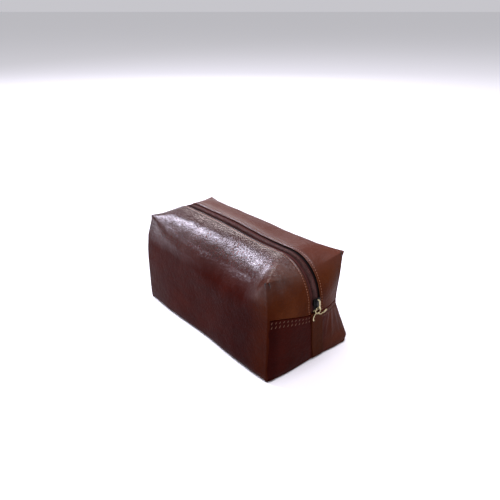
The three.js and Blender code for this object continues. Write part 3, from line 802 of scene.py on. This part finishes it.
def sweep(points, radius, segs=8, caps=True, flat=1.0, up=None):
    """Round bar along points; radius may be one number or one for each point. Returns points and faces."""
    c = np.asarray(points, float)
    n = len(c)
    r = np.full(n, radius, float) if np.isscalar(radius) else np.asarray(radius, float)
    t = np.gradient(c, axis=0)
    t /= np.maximum(np.linalg.norm(t, axis=1), 1e-9)[:, None]
    ref = np.array(up if up is not None else ((0, 0, 1) if abs(t[0][2]) < 0.9 else (1, 0, 0)), float)
    u = np.cross(ref, t[0]); u /= np.linalg.norm(u)
    rows = []
    for i in range(n):
        u = u - t[i] * (u @ t[i]); u /= np.linalg.norm(u)
        w = np.cross(t[i], u)
        a = np.linspace(0, 2 * math.pi, segs, endpoint=False)
        rows.append(c[i] + r[i] * (np.cos(a)[:, None] * u * flat + np.sin(a)[:, None] * w))
    V = np.concatenate(rows)
    F = []
    for i in range(n - 1):
        for k in range(segs):
            k2 = (k + 1) % segs
            F.append((i * segs + k, i * segs + k2, (i + 1) * segs + k2, (i + 1) * segs + k))
    if caps:
        V = np.concatenate([V, [c[0] - t[0] * r[0] * 0.35], [c[-1] + t[-1] * r[-1] * 0.35]])
        a, b = len(V) - 2, len(V) - 1
        for k in range(segs):
            k2 = (k + 1) % segs
            F.append((a, k2, k))
            F.append((b, (n - 1) * segs + k, (n - 1) * segs + k2))
    return V, F


def capsule_bar(a, b, r, normal, arch=0.0, segs=6, rings=5):
    """A stitch or tooth from a to b, its middle raised by arch along normal."""
    a, b, normal = np.asarray(a, float), np.asarray(b, float), np.asarray(normal, float)
    t = np.linspace(0, 1, rings)
    pts = a + (b - a) * t[:, None] + normal * (arch * np.sin(math.pi * t))[:, None]
    rad = r * np.array([0.45, 0.92, 1.0, 0.92, 0.45]) if rings == 5 else np.full(rings, r)
    return sweep(pts, rad, segs, up=normal)


def join(parts):
    V, F, base = [], [], 0
    for v, f in parts:
        V.append(v)
        F.extend([tuple(int(i) + base for i in q) for q in f])
        base += len(v)
    return np.concatenate(V), F


def plate(outline, thickness, origin, ax, ay, az, bevel=0.3, name="plate", material=None, segments=3):
    """A flat plate with rounded edges: outline points along ax, ay from origin, grown by thickness along az."""
    o0, ax, ay, az = (np.asarray(k, float) for k in (origin, ax, ay, az))
    low = [o0 + ax * p[0] + ay * p[1] for p in outline]
    high = [p + az * thickness for p in low]
    n = len(low)
    F = [tuple(range(n))[::-1], tuple(range(n, 2 * n))] + [(i, (i + 1) % n, n + (i + 1) % n, n + i) for i in range(n)]
    o = make_object(name, np.array(low + high), F, material, smooth=True)
    m = o.modifiers.new("b", "BEVEL")
    m.width = bevel * MM
    m.segments = segments
    m.limit_method = "ANGLE"
    m.angle_limit = math.radians(40)
    return apply_modifiers(o)


def rounded(points, r, n=5):
    """Rounds the corners of a 2-D outline."""
    pts = [np.array(p, float) for p in points]
    out = []
    for i, p in enumerate(pts):
        a, b = pts[i - 1] - p, pts[(i + 1) % len(pts)] - p
        ra = r[i] if hasattr(r, "__len__") else r
        ra = min(ra, 0.48 * np.linalg.norm(a), 0.48 * np.linalg.norm(b))
        p0, p1 = p + a / np.linalg.norm(a) * ra, p + b / np.linalg.norm(b) * ra
        for k in range(n + 1):
            t = k / n
            out.append((1 - t) ** 2 * p0 + 2 * t * (1 - t) * p + t * t * p1)
    return out


def fuse(objects, name):
    """Joins mesh objects into one piece."""
    bm = bmesh.new()
    mats = []
    for o in objects:
        me = o.data
        base = len(mats)
        mats.extend(me.materials)
        start = len(bm.faces)
        bm.from_mesh(me)
        bm.faces.ensure_lookup_table()
        for f in bm.faces[start:]:
            f.material_index += base
    mesh = bpy.data.meshes.new(name)
    bm.to_mesh(mesh)
    bm.free()
    for m in mats:
        mesh.materials.append(m)
    o = bpy.data.objects.new(name, mesh)
    bpy.context.scene.collection.objects.link(o)
    for k in objects:
        bpy.data.objects.remove(k, do_unlink=True)
    return o


def soften(p, n):
    """The same slow waviness as the leather has."""
    return p + n * (0.55 * fbm(p, 46.0, 2))[:, None]


def zip_place(s, y, depth):
    """Settled points at s along the zip, y across it and depth below the leather's surface; also the even points."""
    s, y, depth = np.broadcast_arrays(np.asarray(s, float), np.asarray(y, float), np.asarray(depth, float))
    x, z, nx, nz = zip_at(s.ravel())
    n = np.stack([nx, np.zeros_like(nx), nz], 1)
    surface = np.stack([x, y.ravel(), z], 1)
    even = surface - n * depth.ravel()[:, None]
    top = settle(surface)
    return soften(top, n) - n * depth.ravel()[:, None], even, n


# ------------------------------------------------------------------ topstitching beside the zip
def stitches_on(surface_bvh, rest_tree, points_even, length_dir, length, r, sink=0.08, arch=0.16):
    """Bars lying on the leather, one for each even point, running along length_dir."""
    parts, weights = [], []
    for p, d in zip(points_even, length_dir):
        ends = settle(np.array([p - d * length / 2, p + d * length / 2]))
        hit = []
        for q in ends:
            loc, nor, _, _ = surface_bvh.find_nearest(Vector(q))
            hit.append((np.array(loc), np.array(nor)))
        n = hit[0][1] + hit[1][1]
        n /= np.linalg.norm(n)
        a, b = hit[0][0] - hit[0][1] * sink, hit[1][0] - hit[1][1] * sink
        parts.append(capsule_bar(a, b, r, n, arch=arch + sink + 0.04))
        weights.append(len(parts[-1][0]))
    return parts, weights


def tape_grid(ss, ys, depth_top, depth_low, sy):
    S, Y = np.meshgrid(ss, ys, indexing="ij")
    top, even, _ = zip_place(S, sy * Y, np.full(S.shape, depth_top))
    low, _, _ = zip_place(S, sy * Y, np.full(S.shape, depth_low))
    n, m = S.shape
    F = grid_faces(n, m, flip=sy < 0)
    count = n * m
    e = np.concatenate([F[:, [0, 1]], F[:, [1, 2]], F[:, [2, 3]], F[:, [3, 0]]])
    _, idx, cnt = np.unique(np.sort(e, 1), axis=0, return_index=True, return_counts=True)
    rim = e[idx[cnt == 1]]
    quads = np.stack([rim[:, 1], rim[:, 0], rim[:, 0] + count, rim[:, 1] + count], 1)
    return np.concatenate([top, low]), np.concatenate([F, F[:, ::-1] + count, quads]), np.concatenate([even, even])


TEETH_PITCH = 1.4
STITCH = 3.2
SEAM_STITCH = 4.5
SEAM_ROWS = (3.8, 8.6)
for side, sy in SIDES:
    P, F, rest = outer_of[side]
    tree = bvh_of(P, F)
    # woven tape
    ss = np.arange(0.4, S_TOTAL - 0.3, 2.0)
    ys = np.array([0.45, 1.2, 2.4, 3.2, 3.9, 5.2, 6.6, 7.6, 8.6, 10.5, 13.0])
    V, Q, even = tape_grid(ss, ys, 2.1, 2.9, sy)
    lift = np.where((np.abs(even[:, 1]) > 3.0) & (np.abs(even[:, 1]) < 4.2), 0.18, 0.0)   # the cord the coil is sewn down with
    o = make_object(f"{side}_zip_tape_woven", V, Q, M_TAPE)
    follow_lip(o)
    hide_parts(*[f"zip_tape_{side}_{k}" for k in ("near", "top", "far")])
    # coil: one bar to each turn, half a pitch out of step with the other side's
    s0 = 2.6 + (TEETH_PITCH / 2 if sy > 0 else 0)
    centres = np.arange(s0, S_TOTAL - 2.2, TEETH_PITCH)
    parts, evens = [], []
    for s in centres:
        pos, even, n = zip_place(np.array([s, s, s, s + 0.1, s + 0.35]), sy * np.array([-0.75, 0.0, 1.3, 2.5, 3.0]), np.array([0.95, 0.72, 0.62, 0.85, 1.6]))
        v, f = sweep(pos, np.array([0.5, 0.47, 0.36, 0.36, 0.3]), 6, up=n[0])
        parts.append((v, f))
        evens.append(np.repeat(even[1:2], len(v), 0))
        # the turn comes back under
        pos2, even2, n2 = zip_place(np.array([s + 0.35, s + 0.5, s + 0.7]), sy * np.array([3.0, 1.4, 0.1]), np.array([1.6, 1.85, 1.7]))
        v, f = sweep(pos2, 0.3, 5, up=n2[0])
        parts.append((v, f))
        evens.append(np.repeat(even[1:2], len(v), 0))
    # machine stitches hold the coil on its tape; of the two rows placed, only the outer one is built
    for s in np.arange(s0, S_TOTAL - 3, 2.1):
        for yy in (2.05, 3.55):
            pos, even, n = zip_place(np.array([s - 0.8, s, s + 0.8]), sy * np.full(3, yy), np.array([1.9, 1.55, 1.9]) if yy > 3 else np.array([0.5, 0.32, 0.5]))
            if yy > 3:
                v, f = sweep(pos, np.array([0.14, 0.2, 0.14]), 5, up=n[0])
                parts.append((v, f))
                evens.append(np.repeat(even[1:2], len(v), 0))
    V, Q = join(parts)
    o = make_object(f"{side}_zip_coil_turns", V, Q, M_COIL)
    follow_lip(o)
    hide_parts(*[f"zip_coil_{side}_{k}" for k in ("near", "top", "far")])
    # topstitch 3 mm from the leather's edge
    sc = np.arange(1.5, S_TOTAL - 1.5, STITCH)
    x, z, nx, nz = zip_at(sc)
    pts = np.stack([x, np.full_like(x, sy * 11.0), z], 1)
    dirs = np.stack([-nz, np.zeros_like(nx), nx], 1)
    parts, counts = stitches_on(tree, None, pts, dirs, 1.75, 0.37)
    V, Q = join(parts)
    o = make_object(f"{side}_zip_topstitch", V, Q, M_THREAD)
    follow_lip(o)

# ------------------------------------------------------------------ lower end panels
PANEL_TOP = SEAM_Z + 2.2


def panel_surface(y, z, sx):
    """Even surface of the lower end panel; sx is 1 at the near end."""
    v = np.clip((np.abs(y) - ZIP_Y) / (WALL_Y - ZIP_Y), 0, 1)
    top = 8.5 if sx > 0 else 6.5
    low = LOW_BULGE if sx > 0 else 1.5
    bulge = low + (top - low) * np.clip(z / SEAM_Z, 0, 1) ** 0.9
    return sx * (EDGE_X + bulge * (1 - v ** 2))


for end, sx in (("near", 1), ("far", -1)):
    top_gap = 8.5 if sx > 0 else 6.5
    zz = np.concatenate([[0.0, 0.35, 1.0, 2.0], spaced(3.4, SEAM_Z - 2.0, 1.7), [SEAM_Z - 1.2, SEAM_Z - 0.6, SEAM_Z, SEAM_Z + 0.9, PANEL_TOP]])
    yy = np.concatenate([[-59.5, -59.2, -58.8, -58.3, -57.6], spaced(-56.0, 56.0, 1.7), [57.6, 58.3, 58.8, 59.2, 59.5]])
    Y, Z = np.meshgrid(yy, zz, indexing="ij")
    X = panel_surface(Y, Z, sx)
    even = np.stack([X, Y, Z], -1).reshape(-1, 3)
    F = grid_faces(len(yy), len(zz), flip=sx < 0)
    P = settle(even)
    n = vertex_normals(P, F)
    if (n[:, 0] * sx).sum() < 0:
        F = F[:, ::-1]
        n = -n
    P = soften(P, n)
    h = relief(P) + 0.10 * fbm(P + 300, 13.0, 3) + (0.4 * fbm(P + 90, 26.0, 2) if sx > 0 else 0)
    yr, zr = even[:, 1], even[:, 2]
    edge = WALL_Y - np.abs(yr)
    h -= 1.2 * np.exp(-(edge / 1.0) ** 2) + 0.2 * np.exp(-((edge - 2.6) / 1.6) ** 2)
    h -= 2.1 * smooth01((zr - SEAM_Z + 1.3) / 1.9)
    for below in SEAM_ROWS:
        h -= 0.22 * np.exp(-((SEAM_Z - below - zr) / 0.8) ** 2)
    h += 0.22 * np.exp(-((SEAM_Z - 2.2 - zr) / 1.0) ** 2)
    h -= 1.4 * smooth01((1.6 - zr) / 1.6)
    P = P + n * h[:, None]
    P[:, 2] = np.maximum(P[:, 2], 0.02)
    V, Q = thicken(P, F, LEATHER)
    o = make_object(f"{end}_lower_end_leather", V, Q, M_END)
    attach(o, "bag_body")
    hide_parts(f"{end}_end_panel")
    tree = bvh_of(P, F)
    # two rows of stitches hold the seam down, from the corners to the centre strip
    parts = []
    for below in SEAM_ROWS:
        for sy in (-1, 1):
            ys = np.arange(11.6, 57.0, SEAM_STITCH) * sy
            pts = np.stack([panel_surface(ys, np.full_like(ys, SEAM_Z - below), sx), ys, np.full_like(ys, SEAM_Z - below)], 1)
            dirs = np.zeros_like(pts)
            dirs[:, 1], dirs[:, 2] = 0.50, 0.866
            got, _ = stitches_on(tree, None, pts, dirs, 3.1, 0.46)
            parts += got
    V, Q = join(parts)
    o = make_object(f"{end}_seam_stitches", V, Q, M_THREAD_DARK)
    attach(o, "bag_body")
    # cloth behind the panel
    inner = P - n * 3.2
    inner = relax(inner, F, np.ones(len(inner)), 3)
    V, Q = thicken(inner, F, 0.5)
    o = make_object(f"{end}_end_lining_cloth", V, Q, M_LINING)
    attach(o, "bag_body")
    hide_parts(f"{end}_end_lining")

# ------------------------------------------------------------------ centre strip, down both ends and under the base
path = []
for z in spaced(SEAM_Z + 1.2, 4.0, 2.2):
    path.append((float(panel_surface(np.array([0.0]), np.array([z]), 1)[0]) + 1.5, z, 1.0, 0.0))
xb = panel_surface(np.array([0.0]), np.array([0.0]), 1)[0]
for k in range(1, 6):
    a = k / 6 * math.pi / 2
    path.append((xb + 1.5 - 3.4 * (1 - math.cos(a)), 4.0 - 4.0 * math.sin(a), math.cos(a), -math.sin(a)))
for x in spaced(xb - 2.4, -(panel_surface(np.array([0.0]), np.array([0.0]), -1)[0] * -1) + 2.4, 3.0):
    path.append((x, 0.0, 0.0, -1.0))
xf = panel_surface(np.array([0.0]), np.array([0.0]), -1)[0]
for k in range(1, 6):
    a = (1 - k / 6) * math.pi / 2
    path.append((xf - 1.5 + 3.4 * (1 - math.cos(a)), 4.0 - 4.0 * math.sin(a), -math.cos(a), -math.sin(a)))
for z in spaced(4.0, SEAM_Z + 1.2, 2.2):
    path.append((float(panel_surface(np.array([0.0]), np.array([z]), -1)[0]) - 1.5, z, -1.0, 0.0))
path = np.array(path)
HALF = 9.2
profile = [(-HALF + 0.15, 1.45), (-HALF, 1.0), (-HALF, 0.55), (-HALF + 0.35, 0.12), (-HALF + 1.0, 0.0), (-HALF + 2.6, 0.10), (-HALF + 4.2, 0.02)]
profile = profile + [(0.0, -0.05)] + [(-a, b) for a, b in profile[::-1]] + [(HALF - 2.5, 1.5), (0.0, 1.5), (-HALF + 2.5, 1.5)]
rows = []
for x, z, nx, nz in path:
    under = nz < -0.5
    for a, b in profile:
        rows.append((x - nx * b, a, z - nz * b if not under else min(z - nz * b, 1.5)))
even = np.array(rows)
m = len(profile)
P = even.copy()
shift = settle(np.stack([np.clip(even[:, 0], -140, 140), np.zeros(len(even)), even[:, 2]], 1)) - np.stack([even[:, 0], np.zeros(len(even)), even[:, 2]], 1)
P += shift
P[:, 0] += 0.55 * np.sign(P[:, 0]) * fbm(P * np.array([0, 1, 1]) + 11, 46.0, 2) * (np.abs(P[:, 0]) > 122)
P[:, 1] += 0.5 * fbm(np.stack([P[:, 0] * 0 + 5, P[:, 0] * 0 + 7, P[:, 2] + P[:, 0]], 1), 26.0, 2)
P[:, 2] = np.maximum(P[:, 2], 0.0)
F = []
n = len(path)
for i in range(n - 1):
    for k in range(m):
        k2 = (k + 1) % m
        F.append((i * m + k, (i + 1) * m + k, (i + 1) * m + k2, i * m + k2))
F.append(tuple(range(m)))
F.append(tuple((n - 1) * m + k for k in range(m))[::-1])
o = make_object("centre_strip_leather", P, F, M_BAND)
bm = bmesh.new(); bm.from_mesh(o.data); bmesh.ops.recalc_face_normals(bm, faces=bm.faces); bm.to_mesh(o.data); bm.free()
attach(o, "bag_body")
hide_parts("centre_band")

# ------------------------------------------------------------------ inside: base board, base cloth, slip pocket
for node, mat in (("base_board", M_BOARD),):
    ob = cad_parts[node]
    ob.data.materials.clear()
    ob.data.materials.append(mat)
    for poly in ob.data.polygons:
        poly.material_index = 0
lo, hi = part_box("base_lining")
lo, hi = np.array(lo) / MM, np.array(hi) / MM
X, Y = np.meshgrid(np.linspace(lo[0], hi[0], 60), np.linspace(lo[1], hi[1], 30), indexing="ij")
even = np.stack([X, Y, np.full(X.shape, hi[2])], -1).reshape(-1, 3)
P = even.copy()
P[:, 2] += 0.35 + 0.35 * fbm(P, 30.0, 3)
V, Q = thicken(P, grid_faces(60, 30), 0.5)
o = make_object("base_lining_cloth", V, Q, M_LINING)
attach(o, "bag_body"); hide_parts("base_lining")

lo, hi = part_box("slip_pocket")
lo, hi = np.array(lo) / MM, np.array(hi) / MM
X, Z = np.meshgrid(np.linspace(lo[0], hi[0], 50), np.concatenate([np.linspace(lo[2], hi[2] - 6, 24), [hi[2] - 5.6, hi[2] - 5.2, hi[2] - 3, hi[2] - 1, hi[2]]]), indexing="ij")
u, w = (X - lo[0]) / (hi[0] - lo[0]), (Z - lo[2]) / (hi[2] - lo[2])
wall_bulge = 2.2 * (1 - (X / EDGE_X) ** 2) * np.sin(math.pi * np.clip(Z / 121.5, 0, 1)) ** 0.8
Yp = (lo[1] + hi[1]) / 2 + wall_bulge - 1.2 - 1.6 * np.sin(math.pi * u) * w ** 2
Yp = Yp - np.where(Z > hi[2] - 5.4, 0.35, 0)
even = np.stack([X, Yp, Z], -1).reshape(-1, 3)
F = grid_faces(*X.shape)
V, Q = thicken(settle(even), F, 0.5)
pocket = make_object("slip_pocket_cloth", V, Q, M_LINING)
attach(pocket, "bag_body"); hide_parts("slip_pocket")

# ------------------------------------------------------------------ stops, slider, bail and pull
SHIFT = float(settle(np.array([[135.0, 0.0, 79.0]]))[0, 1])     # the soft end has carried the zip a little sideways


def moved(v, dy=SHIFT):
    v = np.array(v, float)
    v[:, 1] += dy
    return v


EX, EY, EZ = (1, 0, 0), (0, 1, 0), (0, 0, 1)
# near stop: a bent metal clip over both chains
parts = [
    plate(rounded([(-3.4, 68.2), (3.4, 68.2), (3.4, 70.4), (-3.4, 70.4)], 0.7), 1.0, (131.7, SHIFT, 0), EY, EZ, EX, 0.3, "a", M_BRASS),
    plate(rounded([(-3.3, 68.3), (3.3, 68.3), (3.3, 70.3), (-3.3, 70.3)], 0.6), 0.8, (128.8, SHIFT, 0), EY, EZ, EX, 0.25, "b", M_BRASS),
    plate([(-1.0, 68.5), (1.0, 68.5), (1.0, 70.1), (-1.0, 70.1)], 2.6, (129.3, SHIFT, 0), EY, EZ, EX, 0.2, "c", M_BRASS),
]
o = fuse(parts, "near_stop_clip")
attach(o, "bag_body"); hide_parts("near_zip_stop")
fs = float(settle(np.array([[-131.0, 0.0, 69.0]]))[0, 1])
parts = [
    plate(rounded([(-3.2, 68.2), (3.2, 68.2), (3.2, 70.6), (-3.2, 70.6)], 0.7), 1.0, (-130.6, fs, 0), EY, EZ, (-1, 0, 0), 0.3, "a", M_BRASS),
    plate(rounded([(-1.9, 68.7), (1.9, 68.7), (1.9, 70.1), (-1.9, 70.1)], 0.4), 0.35, (-131.5, fs, 0), EY, EZ, (-1, 0, 0), 0.15, "b", M_BRASS),
]
o = fuse(parts, "far_stop_clip")
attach(o, "bag_body"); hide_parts("far_zip_stop")

# slider: two shaped plates, the post between them at the closing end, and edges turned in to hold the chains
outline = rounded([(-3.1, 72.5), (3.1, 72.5), (4.7, 77.2), (4.7, 86.4), (-4.7, 86.4), (-4.7, 77.2)], [1.2, 1.2, 2.0, 1.5, 1.5, 2.0], 6)
inner = rounded([(-2.2, 74.0), (2.2, 74.0), (3.5, 77.6), (3.5, 84.9), (-3.5, 84.9), (-3.5, 77.6)], [0.9, 0.9, 1.5, 1.1, 1.1, 1.5], 6)
parts = [
    plate(outline, 1.3, (133.6, SHIFT, 0), EY, EZ, EX, 0.45, "a", M_BLACK),
    plate(inner, 0.42, (134.85, SHIFT, 0), EY, EZ, EX, 0.3, "b", M_BLACK),
    plate(outline, 1.3, (127.9, SHIFT, 0), EY, EZ, EX, 0.4, "c", M_BLACK),
    plate(rounded([(-1.2, 72.9), (1.2, 72.9), (0.7, 74.4), (-0.7, 74.4)], 0.3), 4.7, (129.1, SHIFT, 0), EY, EZ, EX, 0.15, "d", M_BLACK),
    plate(rounded([(-4.7, 77.8), (-3.8, 77.8), (-3.8, 84.9), (-4.7, 84.9)], 0.3), 2.1, (131.75, SHIFT, 0), EY, EZ, EX, 0.25, "e", M_BLACK),
    plate(rounded([(3.8, 77.8), (4.7, 77.8), (4.7, 84.9), (3.8, 84.9)], 0.3), 2.1, (131.75, SHIFT, 0), EY, EZ, EX, 0.25, "f", M_BLACK),
]
# feet that hold the bail
for zc in (73.9, 84.7):
    parts.append(plate(rounded([(-1.75, zc - 0.75), (1.75, zc - 0.75), (1.75, zc + 0.75), (-1.75, zc + 0.75)], 0.4), 0.55, (135.1, SHIFT, 0), EY, EZ, EX, 0.2, "g", M_BLACK))
o = fuse(parts, "slider_plates")
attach(o, "slider"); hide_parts("slider_body")

# bail: a flat brass bridge, wider at its feet
bail = [(135.3, 85.1), (136.3, 85.25), (137.4, 84.9), (138.25, 84.0), (138.65, 82.6), (138.68, 79.9), (138.66, 77.0), (138.6, 75.0), (138.2, 74.0), (137.2, 73.6), (136.2, 73.6), (135.3, 73.6)]
t = np.linspace(0, 1, len(bail))
fine = np.linspace(0, 1, 44)
bx, bz = np.interp(fine, t, [p[0] for p in bail]), np.interp(fine, t, [p[1] for p in bail])
for _ in range(4):
    bx[1:-1] = (bx[:-2] + 2 * bx[1:-1] + bx[2:]) / 4
    bz[1:-1] = (bz[:-2] + 2 * bz[1:-1] + bz[2:]) / 4
c = np.stack([bx, np.full_like(bx, SHIFT), bz], 1)
d = np.gradient(c, axis=0); d /= np.linalg.norm(d, axis=1)[:, None]
out_n = np.cross(d, np.array([0, 1.0, 0]))
rows = []
for i in range(len(c)):
    half = 1.0 + 0.28 * abs(2 * fine[i] - 1) ** 3
    th = 0.5
    for k in range(12):
        a = 2 * math.pi * k / 12
        ca, sa = math.cos(a), math.sin(a)
        rows.append(c[i] + np.array([0, 1.0, 0]) * half * math.copysign(abs(ca) ** 0.55, ca) + out_n[i] * th * math.copysign(abs(sa) ** 0.6, sa))
n = len(c)
F = [(i * 12 + k, i * 12 + (k + 1) % 12, (i + 1) * 12 + (k + 1) % 12, (i + 1) * 12 + k) for i in range(n - 1) for k in range(12)]
F += [tuple(range(12))[::-1], tuple((n - 1) * 12 + k for k in range(12))]
o = make_object("slider_bail_bridge", np.array(rows), F, M_BRASS)
bm = bmesh.new(); bm.from_mesh(o.data); bmesh.ops.recalc_face_normals(bm, faces=bm.faces); bm.to_mesh(o.data); bm.free()
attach(o, "slider"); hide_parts("slider_bail")

# ring: worn wire, round, with its butt joint
PX, PZ, RR = 136.7, 75.6, 4.0
a = np.linspace(0, 2 * math.pi, 65)[:-1]
ringc = np.stack([np.full_like(a, PX), SHIFT + RR * np.sin(a), PZ - RR + RR * np.cos(a)], 1)
rows, F = [], []
for i, ai in enumerate(a):
    outd = np.array([0, math.sin(ai), math.cos(ai)])
    gap = abs((ai - 2.1 + math.pi) % (2 * math.pi) - math.pi)
    r = 0.6 * (1 - 0.16 * math.exp(-(gap / 0.045) ** 2))
    for k in range(10):
        b = 2 * math.pi * k / 10
        rows.append(ringc[i] + outd * r * math.cos(b) + np.array([1.0, 0, 0]) * r * math.sin(b))
for i in range(64):
    for k in range(10):
        j = (i + 1) % 64
        F.append((i * 10 + k, j * 10 + k, j * 10 + (k + 1) % 10, i * 10 + (k + 1) % 10))
o = make_object("pull_ring_wire", np.array(rows), F, M_BRASS)
bm = bmesh.new(); bm.from_mesh(o.data); bmesh.ops.recalc_face_normals(bm, faces=bm.faces); bm.to_mesh(o.data); bm.free()
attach(o, "pull_ring_body"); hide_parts("pull_ring")

# forked pull: one bent wire hooked over the ring, one end hanging and the other splayed out
wz = PZ - 2 * RR
fork = np.array([
    (PX - 1.1, -5.2, wz - 8.4), (PX - 1.5, -5.3, wz - 5.4), (PX - 1.6, -3.8, wz - 2.2), (PX - 1.55, -0.9, wz + 0.1),
    (PX - 0.7, -0.1, wz + 1.45), (PX + 0.7, 0.1, wz + 1.45),
    (PX + 1.6, 0.9, wz + 0.1), (PX + 2.0, 3.4, wz - 0.7), (PX + 2.6, 6.9, wz + 0.7), (PX + 3.6, 10.6, wz + 3.2)])


def catmull(points, per=8):
    p = np.concatenate([[2 * points[0] - points[1]], points, [2 * points[-1] - points[-2]]])
    out = []
    for i in range(1, len(p) - 2):
        for k in range(per):
            t = k / per
            out.append(0.5 * (2 * p[i] + (p[i + 1] - p[i - 1]) * t + (2 * p[i - 1] - 5 * p[i] + 4 * p[i + 1] - p[i + 2]) * t * t + (3 * p[i] - p[i - 1] - 3 * p[i + 1] + p[i + 2]) * t ** 3))
    out.append(p[-2])
    return np.array(out)


fc = moved(catmull(fork))
t = np.linspace(0, 1, len(fc))
rad = 0.6 + 0.16 * smooth01((0.10 - t) / 0.10) + 0.34 * smooth01((t - 0.80) / 0.12) - 0.25 * smooth01((t - 0.955) / 0.045)
V, F = sweep(fc, rad, 12)
o = make_object("pull_fork_wire", V, F, M_BRASS)
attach(o, "pull_fork_body"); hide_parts("pull_fork")

# ------------------------------------------------------------------ floor and light
mesh = bpy.data.meshes.new("floor")
mesh.from_pydata([(-60, -60, 0), (60, -60, 0), (60, 60, 0), (-60, 60, 0)], [], [(0, 1, 2, 3)])
floor = bpy.data.objects.new("floor", mesh)
bpy.context.scene.collection.objects.link(floor)
m = bpy.data.materials.new("floor_white")
nt, b = nodes_of(m)
b.inputs["Base Color"].default_value = (0.87, 0.87, 0.87, 1)
b.inputs["Roughness"].default_value = 0.9
b.inputs["Specular IOR Level"].default_value = 0.0
mesh.materials.append(m)

world = bpy.data.worlds.new("studio")
bpy.context.scene.world = world
world.use_nodes = True
world.node_tree.nodes["Background"].inputs["Color"].default_value = (0.95, 0.94, 1.0, 1)
world.node_tree.nodes["Background"].inputs["Strength"].default_value = 0.60


def area(name, direction, distance, size, power, colour=(1, 1, 1), target=(0.0, 0.0, 0.08)):
    data = bpy.data.lights.new(name, "AREA")
    data.shape = "DISK"
    data.size = size
    data.energy = power
    data.color = colour
    ob = bpy.data.objects.new(name, data)
    bpy.context.scene.collection.objects.link(ob)
    d = Vector(direction).normalized()
    ob.location = Vector(target) + d * distance
    ob.rotation_mode = "QUATERNION"
    ob.rotation_quaternion = d.to_track_quat("Z", "Y")
    return ob


area("key", (-0.69, -0.20, 0.69), 2.2, 0.74, 57.0, (0.85, 0.82, 1.0))
area("back", (-0.69, 0.59, 0.42), 2.4, 0.6, 9.0, (1.0, 0.92, 0.93))
area("overhead", (0.14, 0.05, 1.0), 3.0, 2.1, 84.0, (0.94, 0.89, 1.0))
bpy.context.scene.view_settings.view_transform = "Standard"
